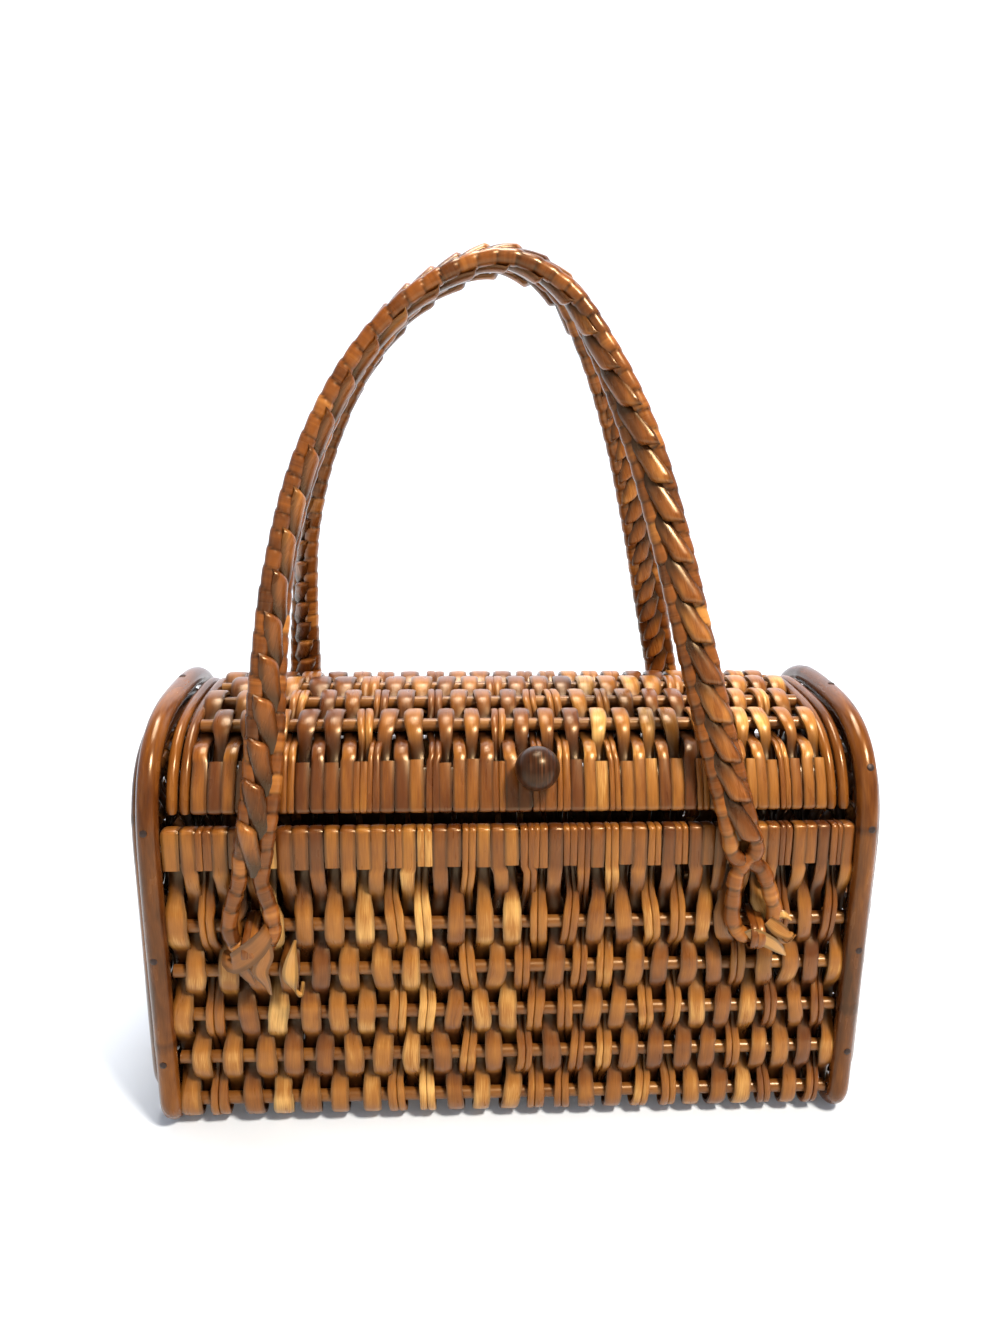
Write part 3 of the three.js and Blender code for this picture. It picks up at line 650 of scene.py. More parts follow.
def add_strand(batch, rng, route, across, pitch, on_rail, at_front, place_strand):
    """One skein, or two thin ones side by side, along a route of (reach, height)."""
    double = rng.random() < DOUBLE_SHARE
    count = len(route)
    share = np.clip(np.abs(route[:, 1]) / WAVE_HEIGHT, 0, 1)
    leaving = route[1:, 0][on_rail[1:] != on_rail[:-1]]
    free = np.ones(count)
    for edge in leaving:
        free = np.minimum(free, np.clip(np.abs(route[:, 0] - edge) / TAPER_LENGTH, 0, 1))
    crown = CROWN_WIDTH - (DOUBLE_CROWN_LOSS if double else 0)
    spread = CROSSING_WIDTH + (crown - CROSSING_WIDTH) * share
    taper = np.where(at_front, FRONT_TAPER, 0)
    spread = (RAIL_STRIP_WIDTH + (spread - RAIL_STRIP_WIDTH) * free) * (1 - taper * np.sin(math.pi * free))
    spread = spread * np.where(at_front, 1, BACK_FILL)
    width = pitch * np.where(on_rail, RAIL_STRIP_WIDTH, spread) * (1 + smooth_noise(rng, count, 0.045))
    thick = np.where(on_rail, WRAP, SKEIN + (CROWN_THICK - SKEIN) * share)
    drift = smooth_noise(rng, count // 4, STRAND_DRIFT)
    drift = np.interp(np.arange(count), np.linspace(0, count - 1, count // 4), drift)
    drift = drift * np.where(on_rail | ~at_front, CALM_DRIFT, 1)
    # Painted light: the tone is lighter on the crowns, darker where the strand dips under its neighbours, and
    # lighter towards the right as if lit from there. depth paints shade in the dips. Rail strips get a darker
    # tone.
    level = np.clip(route[:, 1] / WAVE_HEIGHT * 0.6 + 0.5, 0, 1)
    tone = rng.normal(0.45, 0.18) + across / 100 * 0.1 + smooth_noise(rng, count, 0.08)
    tone = np.clip(tone - np.where(on_rail, 0.17, 0.34 * (1 - level)), 0.0, 1)
    depth = np.where(on_rail, 0.92, level)
    halves = [(0, 1.0)]
    if double:
        split = rng.uniform(0.42, 0.58)
        halves = [(-(1 - split) / 2, split), (split / 2, 1 - split)]
    filled = np.where(at_front, PAIR_FILL, BACK_PAIR_FILL) if double else 1
    for offset, part in halves:
        lift = rng.uniform(-0.12, 0.12) if double else 0
        height = route[:, 1] + lift * (share > 0.5)
        middle, side = place_strand(route[:, 0], height, across + drift + offset * width)
        own_tone = tone + (rng.uniform(-0.12, 0.12) if double else 0)
        sweep_flat(batch, middle, side, width * part * filled, thick, tone=own_tone, depth=depth)


def on_wall(reach, height, across):
    place = wall.at(reach) + wall.out(reach) * height[:, None]
    return np.column_stack([across, place]), ACROSS


def knots_through(rods, first, last, sign):
    """Knots of (reach, height) that pass over one rod and under the next, between two end knots."""
    knots = [first, *((reach, WAVE_HEIGHT) for reach in rods), last]
    return [(reach, sign * (-1) ** i * height) for i, (reach, height) in enumerate(knots)]


def whole_route(start, knots, finish, start_on_rail):
    """A strand's route, with marks for the points that are on a rail."""
    route = np.concatenate([start, wave(knots), [knots[-1]], finish])
    rail = np.zeros(len(route), bool)
    if start_on_rail:
        rail[:len(start) + 1] = True
    rail[-len(finish) - 1:] = True
    return route, rail


def body_route(over_first, rng):
    side = -1 if over_first else 1
    knots = knots_through(body_rods, (front_rail_bottom, WRAP_HEIGHT), (back_rail_bottom, WRAP_HEIGHT), side)
    last_side = np.sign(knots[-1][1])
    start = fold(front_rail_bottom, front_rail_top, 1, side, rng.uniform(-0.5, 0.7))
    finish = fold(back_rail_bottom, back_rail_top, -1, last_side, rng.uniform(-0.5, 0.7))[::-1]
    return whole_route(start, knots, finish, start_on_rail=True)


def lid_route(over_first, rng):
    side = 1 if over_first else -1
    knots = knots_through(lid_rods, (hinge_reach, WAVE_HEIGHT), (lid_rail_back, WRAP_HEIGHT), side)
    last_side = np.sign(knots[-1][1])
    finish = fold(lid_rail_back, lid_front, -1, last_side, rng.uniform(-0.5, 0.7))[::-1]
    return whole_route(hinge_wrap(side), knots, finish, start_on_rail=False)


def weave_wall(name, node, body, half, make_route, partings, pieces=2):
    rng = np.random.default_rng(SEED + len(name))
    places, widths = strand_places(rng, half, STRAND_COUNT)
    batches = [Batch() for _ in range(pieces)]
    for i, (across, pitch) in enumerate(zip(places, widths)):
        route, rail = make_route(i % 2 == 0, rng)
        spread = np.full(len(route), across)
        squeeze = np.ones(len(route))
        for parting in partings:
            left, right, middle = (parted(spread + shift, route[:, 0], *parting)
                                   for shift in (-pitch / 2, pitch / 2, 0))
            inside = np.sign(spread - pitch / 2) == np.sign(spread + pitch / 2)
            spread = middle
            squeeze = squeeze * np.where(inside, np.clip((right - left) / pitch, 0.55, 1), 1)
        add_strand(batches[i * pieces // STRAND_COUNT], rng, route, spread, pitch * squeeze, rail,
                   route[:, 0] % wall.length < wall.length / 2, on_wall)
    for i, batch in enumerate(batches):
        batch.to_object(f"{name}_{i + 1}", body, "skein", skein_material, [node])


def build_weaves():
    """Both walls.

    A parting has its places across, half its width, where its fading starts and ends, and its reaches.
    """
    body_half = corners("body_weave")[1][0] + 0.1
    weave_wall("woven_body", "body_weave", "basket", body_half, body_route, [
        (tie_places, TIE_CLEAR, 3.5, 7.5, [front_rods[0], back_rods[0]]),
        (loop_places, LOOP_CLEAR, 15.0, 20.0, [back_rail_top]),
    ])
    lid_half = corners("lid_weave")[1][0] - 0.2
    weave_wall("woven_lid", "lid_weave", "lid", lid_half, lid_route, [
        (loop_places, LOOP_CLEAR, 5.0, 12.0, [hinge_reach]),
    ])


def straight(start, end, y, z, count):
    """Points along x."""
    return np.column_stack([np.linspace(start, end, count), np.full(count, y), np.full(count, z)])


def build_rod(node, body):
    """A peeled rod, very slightly crooked."""
    low, high = corners(node)
    rng = np.random.default_rng(SEED + sum(map(ord, node)))
    count = 60
    middle = straight(low[0], high[0], (low[1] + high[1]) / 2, (low[2] + high[2]) / 2, count)
    batch = Batch()
    radius = ROD_RADIUS * (0.97 + np.clip(smooth_noise(rng, count, 0.02), -0.05, 0.03))
    # depth=0.75 paints shade on the rod, which lies under the strands.
    sweep_flat(batch, middle, np.array([0, 1.0, 0]), 2 * radius, 2 * radius, ROUND,
               tone=0.45 + smooth_noise(rng, count, 0.13), depth=0.75)
    batch.to_object(node + "_cane", body, "rod", rod_material, [node])


def build_rail_core(node, body, reaches):
    """The flat cane inside a wrapped rail."""
    low, high = corners(node)
    first, last = reaches
    place, out = wall.spot((first + last) / 2)
    middle = straight(low[0], high[0], *place, 12)
    batch = Batch()
    upward = np.array([0, -out[1], out[0]])
    # depth=0.4 paints shade on the core inside the wrap; its tone is low as well.
    sweep_flat(batch, middle, upward, abs(last - first) - 2 * WRAP, 2 * (RAIL_HALF - WRAP),
               lens_outline(12, 0.5), tone=0.2, depth=0.4)
    batch.to_object(node + "_core", body, "rod", rod_material, [node])


# End panels

class Panel:
    """The outline of an end panel."""

    def __init__(self, node):
        low, high = corners(node)
        self.x = (low[0] + high[0]) / 2
        self.half = high[1]
        self.bottom = low[2]
        self.top = high[2]

    def ends(self, across):
        """Its lowest and highest point at a distance from its middle."""
        away = np.clip(np.abs(across) / self.half, 0, 0.999)
        rise = (1 - away ** SHOULDER_POWER) ** (1 / SHOULDER_POWER)
        into = np.clip(np.abs(across) - (self.half - RIM_CORNER), 0, RIM_CORNER)
        bottom = self.bottom + RIM_CORNER - math.sqrt(RIM_CORNER ** 2 - into ** 2)
        return bottom, STRAIGHT_HEIGHT + (self.top - STRAIGHT_HEIGHT) * rise

    def reach(self, height):
        """How far it reaches from its middle at a height."""
        if height > STRAIGHT_HEIGHT:
            share = min((height - STRAIGHT_HEIGHT) / (self.top - STRAIGHT_HEIGHT), 0.98)
            return self.half * (1 - share ** SHOULDER_POWER) ** (1 / SHOULDER_POWER)
        into = max(self.bottom + RIM_CORNER - height, 0)
        return self.half - RIM_CORNER + math.sqrt(max(RIM_CORNER ** 2 - into ** 2, 0))


def build_end_panel(side, sign):
    node = f"end_panel_{side}"
    panel = Panel(node)
    pitch_up = centre("rod_front_1")[2] - centre("rod_front_2")[2]
    lowest = centre("rod_front_5")[2] + pitch_up
    heights = np.arange(lowest, panel.top - ROD_RADIUS, pitch_up)
    rng = np.random.default_rng(SEED + 31 + int(sign))
    rods = Batch()
    for height in heights:
        reach = panel.reach(height) - 0.5
        middle = straight(-reach, reach, panel.x, height, 16)[:, [1, 0, 2]]
        # depth=0.75 paints shade on the rods, which lie under the strands.
        sweep_flat(rods, middle, ACROSS, 2 * ROD_RADIUS, 2 * ROD_RADIUS, ROUND,
                   tone=0.45 + smooth_noise(rng, 16, 0.1), depth=0.75)
    rods.to_object(f"end_rods_{side}", "basket", "rod", rod_material)
    places, widths = strand_places(rng, panel.half - 0.3, PANEL_STRAND_COUNT)
    weave = Batch()

    def on_panel(reach, height, across):
        return np.column_stack([panel.x + sign * height, across, reach]), np.array([0, -sign * 1.0, 0])

    for i, (across, pitch) in enumerate(zip(places, widths)):
        bottom, top = panel.ends(abs(across) + pitch / 4)
        up = 1 if i % 2 else -1
        knots = [(bottom, 0.0)]
        for height in heights:
            if bottom + 3 < height < top - 3:
                knots.append((height, up * WAVE_HEIGHT))
            up = -up
        knots.append((top, 0.0))
        route = np.concatenate([wave(knots), [knots[-1]]])
        nowhere = np.zeros(len(route), bool)
        add_strand(weave, rng, route, np.full(len(route), across), pitch, nowhere, nowhere, on_panel)
    weave.to_object(f"end_weave_{side}", "basket", "skein", skein_material, [node])


# Bent canes

def build_looped_cane(node, radius):
    line = cane_line(node, radius)
    x = centre(node)[0]
    rng = np.random.default_rng(SEED + sum(map(ord, node)))
    count = 260
    reach = np.linspace(0, line.length, count, endpoint=False)
    wander = 1 + 0.015 * np.sin(reach / line.length * 2 * math.pi * 5 + x)
    joints = rng.uniform(0, line.length, 3)
    for joint in joints:
        wander = wander + 0.04 * np.exp(-((reach - joint) / 1.6) ** 2)
    middle = np.column_stack([np.full(count, x), line.at(reach)])
    face = np.column_stack([np.zeros(count), line.out(reach)])
    batch = Batch()
    tone = 0.31 + 0.14 * np.sin(reach / line.length * 2 * math.pi * 3 + x) + 0.06 * np.sin(reach / 11)
    for joint in joints:
        tone = tone - 0.3 * np.exp(-((reach - joint) / 1.2) ** 2)
    size = 2 * radius * wander * CANE_SHRINK
    batch.sweep(middle, ACROSS, face, size, size, ROUND_FINE, tone=tone, closed=True)
    batch.to_object(node + "_round", "basket", "cane", cane_material, [node])
    return line


def build_nails(side, sign, line, heights):
    """Small nails through a binding cane, on its front, over the top and on its back."""
    node = f"binding_cane_{side}"
    x = centre(node)[0]
    batch = Batch()
    half = len(line.points) // 2
    spots = []
    for height in heights:
        reach = line.reach[np.argmin(np.abs(line.points[:half, 1] - height))]
        spots += [reach, line.length - reach]
    spots.append(6.0 * sign)
    for reach in spots:
        place, out = line.spot(reach)
        normal = unit(np.array([0.12 * sign, *out]))
        seat = np.array([x, *place]) + normal * (BINDING_RADIUS * 0.97)
        side_way = unit(np.cross(normal, [0.3, 0.5, 0.8]))
        rise = np.array([-0.5, 0.1, 0.28, 0.34])
        size = 2 * np.array([NAIL_RADIUS, NAIL_RADIUS, 0.8, 0.1])
        middle = seat + normal * rise[:, None]
        batch.sweep(middle, side_way, np.cross(normal, side_way), size, size, ROUND)
    batch.to_object(f"nails_{side}", "basket", "cane", nail_material)


def build_lid_cane(node):
    low, high = corners(node)
    radius = (high[0] - low[0]) / 2
    count = 90
    reach = np.linspace(hinge_reach - WALL_HALF, lid_front, count)
    middle = np.column_stack([np.full(count, (low[0] + high[0]) / 2), wall.at(reach)])
    face = np.column_stack([np.zeros(count), wall.out(reach)])
    ends = np.clip(np.minimum(reach - reach[0], reach[-1] - reach) / 1.5, 0, 1)
    size = 2 * radius * (0.72 + 0.28 * np.sqrt(ends))
    batch = Batch()
    tone = 0.45 + 0.12 * np.sin(reach / 17 + low[0])
    # depth=0.9 paints a little shade on the cane.
    batch.sweep(middle, ACROSS, face, size, size * 1.06, ROUND, tone=tone, depth=0.9)
    batch.to_object(node + "_round", "lid", "cane", cane_material, [node])


# Knob

def build_knob():
    low, high = corners("knob")
    place, out = wall.spot(lid_front - KNOB_FROM_EDGE)
    normal = np.array([0, *out])
    radius = (high[0] - low[0]) / 2
    face = RAIL_HALF + KNOB_GAP
    angle = np.linspace(math.acos(KNOB_FLAT), math.pi, 26)
    height = face + radius * KNOB_FLAT - radius * np.cos(angle)
    size = radius * np.sin(angle)
    size[-1] = 0.02
    height = np.concatenate([[-RAIL_HALF, face - 0.2, face - 0.1], height])
    size = np.concatenate([[KNOB_STEM_RADIUS] * 3, size])
    middle = np.array([(low[0] + high[0]) / 2, *place]) + normal * height[:, None]
    outline = round_outline(40)
    over = outline[None, :, 0] * size[:, None]
    through = outline[None, :, 1] * size[:, None]
    rings = rings_about(middle, ACROSS, np.cross(normal, ACROSS), over, through)
    batch = Batch()
    batch.add_rings(rings, middle, 0.32 * over, 0.2, 1.0)
    batch.to_object("knob_ball", "lid", "knob", knob_material, ["knob"])


# Hinge loops and handle ties

def belt(first, second, radius, steps=14):
    """A closed path about two circles in (y, z)."""
    first, second = np.asarray(first, float), np.asarray(second, float)
    run = math.atan2(*(second - first)[::-1])
    path = []
    for spot, start in ((second, run - math.pi / 2), (first, run + math.pi / 2)):
        angle = start + np.linspace(0, math.pi, steps)
        path.append(spot + radius * np.stack([np.cos(angle), np.sin(angle)], -1))
    return np.concatenate(path)


def build_hinge_loop(index):
    node = f"hinge_loop_{index + 1}"
    low, high = corners(node)
    x = (low[0] + high[0]) / 2
    radius = LOOP_INSIDE + LOOP_THICKNESS / 2
    upper = (centre("lid_hinge_rod")[1], high[2] - radius - LOOP_THICKNESS / 2)
    lower = ((low[1] + high[1]) / 2 + 0.35, low[2] + radius + LOOP_THICKNESS / 2)
    path = respaced(belt(lower, upper, radius), 1.6, closed=True)
    batch = Batch()
    rng = np.random.default_rng(SEED + 50 + index)
    for offset in (-1.5, 1.5):
        middle = np.column_stack([np.full(len(path), x + offset), path])
        # depth=0.95 paints a little shade on the strips.
        sweep_flat(batch, middle, ACROSS, LOOP_STRIP_WIDTH, LOOP_THICKNESS, closed=True,
                   tone=0.5 + rng.uniform(-0.15, 0.15), depth=0.95)
    batch.to_object(node + "_strip", "basket", "cane", skein_material, [node])


def add_loose_strip(batch, foot, sign, rows, tone):
    """A strip of straw laid through rows of (across, out, up, width, turn) from a handle's foot."""
    route = catmull(rows, per_span=7)
    middle = np.column_stack([
        foot[0] + route[:, 0],
        sign * (handle_plane + route[:, 1]),
        foot[1] + route[:, 2],
    ])
    along = tangents(middle)
    outward = np.array([0, sign * 1.0, 0])
    side = unit(np.cross(along, outward))
    face = np.cross(side, along)
    turn = np.radians(route[:, 4:5])
    side, face = side * np.cos(turn) + face * np.sin(turn), face * np.cos(turn) - side * np.sin(turn)
    # depth=0.95 paints a little shade on the strip.
    batch.sweep(middle, side, face, route[:, 3], LOOSE_THICKNESS, LENS, tone=tone, depth=0.95)


# Torn ends of straw at the left and right feet. A strip's rows are across, out, up, width and turn.
LEFT_STRIPS = [
    {"tone": 0.35, "rows": [
        (-6.5, -1.5, -1, 5, 0), (-5.5, 3.2, -3.5, 6.5, 15), (0, 4.4, 0.5, 7.5, 5), (5, 3.6, 6, 6, -20),
        (6.5, -1, 8.5, 4, -40)]},
    {"tone": 0.5, "rows": [
        (3.5, 2.5, 4, 4.5, 0), (4.6, 3.4, -1.5, 5.5, 25), (3.0, 3.2, -6, 5, 10), (4.5, 2.2, -12, 3.2, -25),
        (5.4, 1.2, -16, 1.0, -30)]},
    {"tone": 0.8, "rows": [
        (13.5, -1, 2, 2, 70), (12.4, 1.2, -3, 4.2, 40), (12, 2.6, -8, 5, 5), (13, 3.2, -13, 4, -60),
        (15, 2, -15, 2.6, -110), (15.6, 0.4, -12, 1.2, -150)]},
    {"tone": 0.25, "rows": [
        (-3, 2, 1, 3.5, 0), (-2.6, 3.6, -4, 4.5, -20), (-0.6, 3, -9, 2.6, 10), (0.6, 2, -12, 0.8, 20)]},
]
RIGHT_STRIPS = [
    {"tone": 0.75, "rows": [
        (-4.5, 0.5, -1, 2.5, 0), (-1.5, 3.6, 1.5, 4.2, 10), (3, 4.2, -0.5, 4.4, 0), (7.5, 3, -4, 3, 20),
        (10, 1.4, -7, 0.8, 40)]},
    {"tone": 0.6, "rows": [
        (3, 2.5, 6, 3.4, 0), (6.2, 3.6, 3.5, 4.6, 25), (9.4, 3.4, 1.5, 3.4, 40), (11.5, 2, 1, 1.0, 60)]},
    {"tone": 0.5, "rows": [
        (4, 2.2, 2, 2.5, 0), (7, 3.4, -1, 2.8, -30), (10, 3, -1.5, 1.8, -60), (12.5, 2, 0.5, 0.7, -80)]},
    {"tone": 0.85, "rows": [(5, 1.5, 7, 2.2, 0), (8.2, 2.6, 8, 2.4, 40), (10.5, 2.2, 6, 0.8, 60)]},
]


def build_tie(place, sign, foot):
    """The strips that hold an eye to the top rod, and the torn ends about them."""
    label = f"{'front' if sign < 0 else 'back'}_{place}"
    node = f"handle_tie_{label}"
    radius = EYE_ROPE / 2 + TIE_SLACK + TIE_THICKNESS / 2
    bar = (sign * handle_plane, foot[1])
    rod = (centre("rod_front_1" if sign < 0 else "rod_back_1")[1], TOP_ROD_HEIGHT)
    path = respaced(belt(bar, rod, radius), 1.5, closed=True)
    batch = Batch()
    for offset, tone in ((-1.1, 0.4), (1.15, 0.65)):
        middle = np.column_stack([foot[0] + offset + 0.2 * np.sin(np.arange(len(path)) / 4), path])
        # depth=0.95 paints a little shade on the strips.
        sweep_flat(batch, middle, ACROSS, 2.4, 1.1, closed=True, tone=tone, depth=0.95)
    batch.to_object(node + "_strip", "basket", "braid", braid_material, [node])
    torn = Batch()
    for strip in LEFT_STRIPS if place == "left" else RIGHT_STRIPS:
        add_loose_strip(torn, foot, sign, strip["rows"], strip["tone"])
    torn.to_object(f"torn_ends_{label}", "basket", "braid", raffia_material)


# Handles

def flat_to_space(flat, sign):
    """Stands points (x, z) in a handle's plane, which leans in towards the other handle's."""
    share = np.clip(flat[:, 1] - HANDLE_LEAN_HEIGHT, 0, None) / (HANDLE_TOP - HANDLE_LEAN_HEIGHT)
    y = sign * (handle_plane - share * (handle_plane - HANDLE_TOP_GAP / 2))
    return np.column_stack([flat[:, 0], y, flat[:, 1]])


def handle_points():
    """Across, height and twist of the table's rows."""
    middle = (FOOT_LEFT[0] + FOOT_RIGHT[0]) / 2
    half = (FOOT_RIGHT[0] - FOOT_LEFT[0]) / 2
    high = HANDLE_TOP - HANDLE_THICKNESS / 2
    return np.array([
        [middle + row["across"] * half, TOP_ROD_HEIGHT + row["rise"] * (high - TOP_ROD_HEIGHT), row["twist"]]
        for row in HANDLE_LINE
    ])


def eye_side(foot, tip, side):
    """One side of an eye, from its foot up."""
    base = np.array(foot)
    up = unit(tip - base)
    over = np.array([up[1], -up[0]])
    return np.array([base + over * row["across"] * side * EYE_WIDTH / 2 + up * row["up"] * EYE_LENGTH
                     for row in EYE_LINE])


class Band:
    """The flat band of a handle: its middle line, with the directions of its width and thickness."""

    def __init__(self, sign):
        points = handle_points()
        flat = catmull(points[:, :2])
        turns = np.interp(np.linspace(0, len(points) - 1, len(flat)), np.arange(len(points)), points[:, 2])
        row = respaced(np.column_stack([flat_to_space(flat, sign), turns]), 1.0)
        self.middle = row[:, :3]
        along = tangents(self.middle)
        level = unit(np.array([0, 1.0, 0]) - along * along[:, 1:2])
        beside = np.cross(along, level)
        turn = -sign * np.radians(row[:, 3:4])
        self.through = level * np.cos(turn) + beside * np.sin(turn)
        self.wide = np.cross(along, self.through)
        self.length = lengths(self.middle)

    def place(self, along, across, height):
        """Space for places given along the band, across it and out of its middle."""
        rows = [np.stack([np.interp(along, self.length, column) for column in values.T], -1)
                for values in (self.middle, self.wide, self.through)]
        return rows[0] + rows[1] * across[..., None] + rows[2] * height[..., None]


def add_wrapped_rope(batch, path, rng, slant):
    """A rope wrapped in short lengths of strip, each one lapping over the next."""
    path = respaced(path, ROPE_WRAP / 9)
    count = len(path)
    along = tangents(path)
    side = unit(np.cross(along, [0, 1.0, 0]))
    face = np.cross(side, along)
    sides = 14
    angle = np.arange(sides) / sides * 2 * math.pi
    length = np.arange(count) * ROPE_WRAP / 9
    warp = length + 1.1 * np.sin(length / 19 + rng.uniform(0, 6)) + 0.5 * np.sin(length / 7.3)
    phase = warp[:, None] / ROPE_WRAP + slant * np.sin(angle[None, :] + 0.6) * 0.35
    saw = phase - np.floor(phase)
    lip = np.clip((1 - saw) / 0.12, 0, 1)
    step = (0.86 + 0.14 * np.clip(saw * 1.5, 0, 1) ** 0.6) * (0.9 + 0.1 * lip)
    radius = EYE_ROPE / 2 * step
    rings = rings_about(path, side, face, radius * np.cos(angle), radius * np.sin(angle))
    wraps = np.floor(phase).astype(int) - int(np.floor(phase.min()))
    shades = rng.normal(0.5, 0.13, wraps.max() + 1)
    # Painted shade where each wrap laps under the next: depth darkens these laps.
    lap_shade = np.clip(np.minimum(saw / 0.2, (1 - saw) / 0.06), 0, 1)
    batch.add_rings(rings, path, 0.12 * length[:, None], shades[wraps], 0.1 + 0.9 * lap_shade)


def add_tongue(batch, band, start, pitch, face, slant, rng):
    """A folded strip that starts under the one before it and ends in a rounded lip over the next."""
    t = np.linspace(0, 1, 15)
    length = pitch * TONGUE_LAP
    lip = np.clip((t - 0.86) / 0.14, 0, 1)
    along = start + length * (t - 0.045 * lip)
    width = TONGUE_WIDTH * np.interp(t, [0, 0.3, 0.75, 1], [0.62, 0.9, 1.0, 0.86]) * rng.uniform(0.95, 1.05)
    middle = slant * (0.3 + TONGUE_WIDTH * 0.27 * np.sin((t - 0.5) * math.pi)) + rng.uniform(-0.25, 0.25)
    rise = HANDLE_THICKNESS / 2 * np.interp(t, [0, 0.25, 0.6, 0.85, 1], [0.3, 0.62, 0.92, 1.12, 1.1])
    rise = rise - 1.1 * lip ** 2
    outline = lens_outline(12, 0.8)
    over = middle[:, None] + outline[None, :, 0] * width[:, None] / 2
    crown = 1.25 * (1 - outline[None, :, 0] ** 2) - 0.45
    height = rise[:, None] + crown + outline[None, :, 1] * 0.5
    skew = along[:, None] + TONGUE_SLANT * slant * over * np.clip(t * 1.5, 0, 1)[:, None]
    rings = band.place(skew, over, face * height)
    # Painted light: the tone grows lighter towards the raised lip as a painted highlight on the fold. depth
    # paints shade where the tongue starts under the one before and at the tucked lip, and edge paints shade
    # along its sides.
    shade = np.clip(rng.normal(0.56, 0.1) + 0.16 * (t - 0.5), 0.1, 1)
    edge = np.clip(np.abs(outline[None, :, 0]) * 1.15, 0, 1)
    depth = np.interp(t, [0, 0.28, 0.6, 0.93, 1], [0.0, 0.12, 0.85, 1.0, 0.5])
    batch.add_rings(rings, rings.mean(1), over, shade, depth, edge=edge)


def build_handle(place, sign):
    rng = np.random.default_rng(SEED + 70 + (sign > 0))
    points = handle_points()
    band = Band(sign)
    edge = (HANDLE_WIDTH - EYE_ROPE) / 2
    keep = np.arange(6, band.length[-1] - 6, 7.0)
    batch = Batch()
    for side in (-1, 1):
        left_eye = flat_to_space(eye_side(FOOT_LEFT, points[0, :2], side), sign)
        right_eye = flat_to_space(eye_side(FOOT_RIGHT, points[-1, :2], side), sign)
        both = [band.place(keep, np.full(len(keep), way * edge), 0 * keep) for way in (side, -side)]
        inner = min(both, key=lambda places: np.linalg.norm(places[0] - left_eye[-1]))
        route = np.concatenate([left_eye, inner, right_eye[::-1]])
        add_wrapped_rope(batch, catmull(route, per_span=8), rng, 0.5 * side)
    core = slice(6, -12)
    # The core under the tongues is painted in shade: a low tone and depth=0.15 make it dark.
    batch.sweep(band.middle[core], band.wide[core], band.through[core], HANDLE_WIDTH - 4,
                HANDLE_THICKNESS / 2, lens_outline(12), tone=0.15, depth=0.15)
    for face in (-1, 1):
        outer = face == sign
        pitch = TONGUE_PITCH if outer else INNER_TONGUE_PITCH
        start = 1.0
        while start < band.length[-1] - pitch * TONGUE_LAP - 1:
            add_tongue(batch, band, start, pitch, face, face * sign, rng)
            start += pitch * rng.uniform(0.96, 1.04)
    return batch.to_object(f"braided_handle_{place}", "basket", "braid", braid_material, [f"handle_{place}"])


# How far the handles' flat plane stands from the bag's middle
handle_plane = -corners("handle_front")[0][1] - HANDLE_THICKNESS / 2


def build_bag():
    build_weaves()
    for group in ("front", "base", "back"):
        for i in range(5):
            build_rod(f"rod_{group}_{i + 1}", "basket")
    for i in range(5):
        build_rod(f"lid_rod_{i + 1}", "lid")
    build_rod("lid_hinge_rod", "lid")
    build_rail_core("front_rail", "basket", (front_rail_top, front_rail_bottom))
    build_rail_core("back_rail", "basket", (back_rail_top, back_rail_bottom))
    build_rail_core("lid_front_rail", "lid", (lid_rail_back, lid_front))
    for side, sign in (("left", -1), ("right", 1)):
        build_end_panel(side, sign)
        line = build_looped_cane(f"binding_cane_{side}", BINDING_RADIUS)
        build_looped_cane(f"end_hoop_{side}", HOOP_RADIUS)
        build_nails(side, sign, line, NAIL_HEIGHTS[side])
        build_lid_cane(f"lid_outer_cane_{side}")
        build_lid_cane(f"lid_inner_cane_{side}")
    build_knob()
    for i in range(3):
        build_hinge_loop(i)
    for place, sign in (("front", -1), ("back", 1)):
        handle = build_handle(place, sign)
        if place == "back":
            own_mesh(handle)
        for foot_place, foot in (("left", FOOT_LEFT), ("right", FOOT_RIGHT)):
            build_tie(foot_place, sign, foot)


# Camera, light and floor

CAMERA_PLACE = (-18.9, -347.1, 244.1)
CAMERA_YAW = 0.048
CAMERA_PITCH = -0.274
CAMERA_ROLL = 0.010
FOCAL_PIXELS = 1040.0
IMAGE_HEIGHT = 1333.0
SENSOR = 36.0
FLOOR_RADIUS = 1.6
FLOOR_BEND = 1.0
FLOOR_TOP = 3.5
FLOOR_SIDES = 48


def build_camera():
    camera = bpy.data.objects.new("camera", bpy.data.cameras.new("camera"))
    camera.data.sensor_width = SENSOR
    camera.data.lens = SENSOR * FOCAL_PIXELS / IMAGE_HEIGHT
    camera.data.clip_start = 0.02
    level = Matrix.Rotation(-CAMERA_YAW, 4, "Z") @ Matrix.Rotation(math.pi / 2 + CAMERA_PITCH, 4, "X")
    place = Matrix.Translation([v * MM for v in CAMERA_PLACE])
    camera.matrix_world = place @ level @ Matrix.Rotation(CAMERA_ROLL, 4, "Z")
    bpy.context.scene.collection.objects.link(camera)
    bpy.context.scene.camera = camera


def build_light(name, place, target, size, power, colour):
    light = bpy.data.lights.new(name, "AREA")
    light.shape = "DISK"
    light.size = size
    light.energy = power
    light.color = colour
    lamp = bpy.data.objects.new(name, light)
    lamp.location = place
    lamp.rotation_euler = (Vector(place) - Vector(target)).to_track_quat("Z", "Y").to_euler()
    bpy.context.scene.collection.objects.link(lamp)


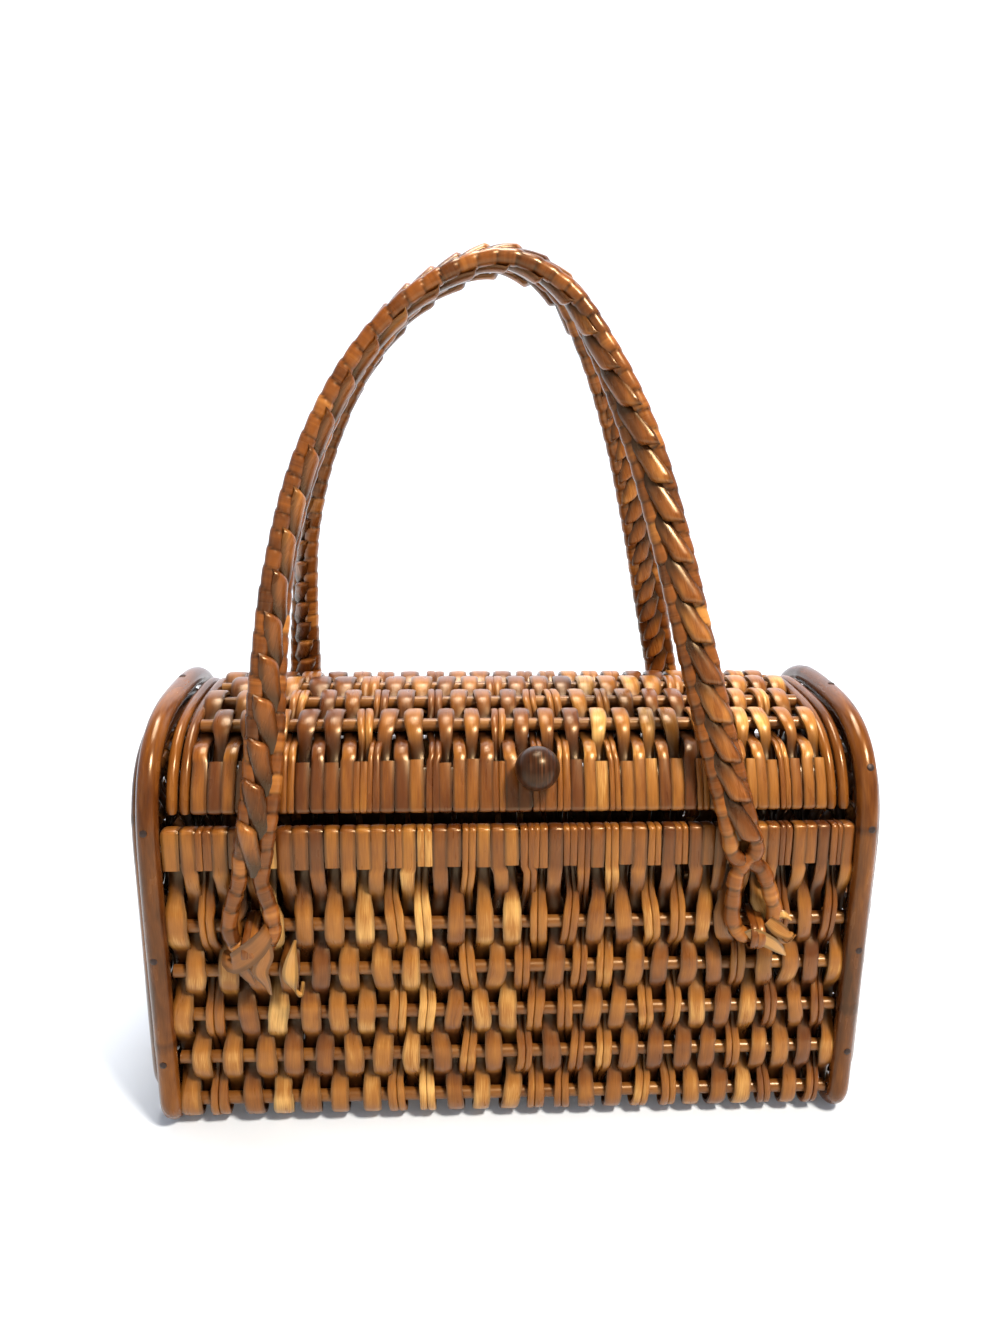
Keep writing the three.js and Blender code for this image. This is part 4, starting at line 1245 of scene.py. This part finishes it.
def build_stage():
    """A pale round floor that curves up into a wall all about."""
    bend = np.linspace(0, math.pi / 2, 13)
    radius = np.concatenate([[0.001], FLOOR_RADIUS + FLOOR_BEND * np.sin(bend), [FLOOR_RADIUS + FLOOR_BEND]])
    height = np.concatenate([[0], FLOOR_BEND * (1 - np.cos(bend)), [FLOOR_TOP]])
    turn = np.arange(FLOOR_SIDES) / FLOOR_SIDES * 2 * math.pi
    points = np.stack([
        radius[:, None] * np.cos(turn),
        radius[:, None] * np.sin(turn),
        np.broadcast_to(height[:, None], (len(height), FLOOR_SIDES)),
    ], -1)
    row, place = np.meshgrid(np.arange(len(radius) - 1) * FLOOR_SIDES, np.arange(FLOOR_SIDES), indexing="ij")
    here, beside = row + place, row + (place + 1) % FLOOR_SIDES
    faces = np.stack([here, beside, beside + FLOOR_SIDES, here + FLOOR_SIDES], -1).reshape(-1, 4)
    mesh = bpy.data.meshes.new("studio_floor")
    mesh.from_pydata(points.reshape(-1, 3).tolist(), [], faces.tolist())
    mesh.polygons.foreach_set("use_smooth", np.ones(len(faces), bool))
    floor = bpy.data.objects.new("studio_floor", mesh)
    bpy.context.scene.collection.objects.link(floor)
    recipe = Recipe("pale_floor")
    recipe.shader.inputs["Base Color"].default_value = (0.61, 0.65, 0.71, 1)
    recipe.shader.inputs["Roughness"].default_value = 0.7
    recipe.shader.inputs["Emission Color"].default_value = (1, 1, 1, 1)
    recipe.shader.inputs["Emission Strength"].default_value = 0.07
    mesh.materials.append(recipe.material)
    world = bpy.data.worlds.new("studio")
    world.use_nodes = True
    background = world.node_tree.nodes["Background"]
    background.inputs["Color"].default_value = (1, 1, 1, 1)
    background.inputs["Strength"].default_value = 0.1
    bpy.context.scene.world = world
    bpy.context.scene.view_settings.view_transform = "Standard"


build_camera()
build_stage()
build_light("key", (0.4, -0.55, 1.05), (0, 0, 0.1), 0.22, 23, (1, 0.92, 0.8))
build_light("fill", (-0.9, -0.9, 0.6), (0, 0, 0.1), 0.9, 1.1, (1, 0.94, 0.85))
build_light("top", (0.0, 0.2, 1.35), (0, 0, 0.1), 0.6, 16, (1, 0.94, 0.85))
build_light("wall", (0, 0.9, 2.3), (0, 2.6, 1.1), 1.0, 90, (1, 1, 1))
build_bag()
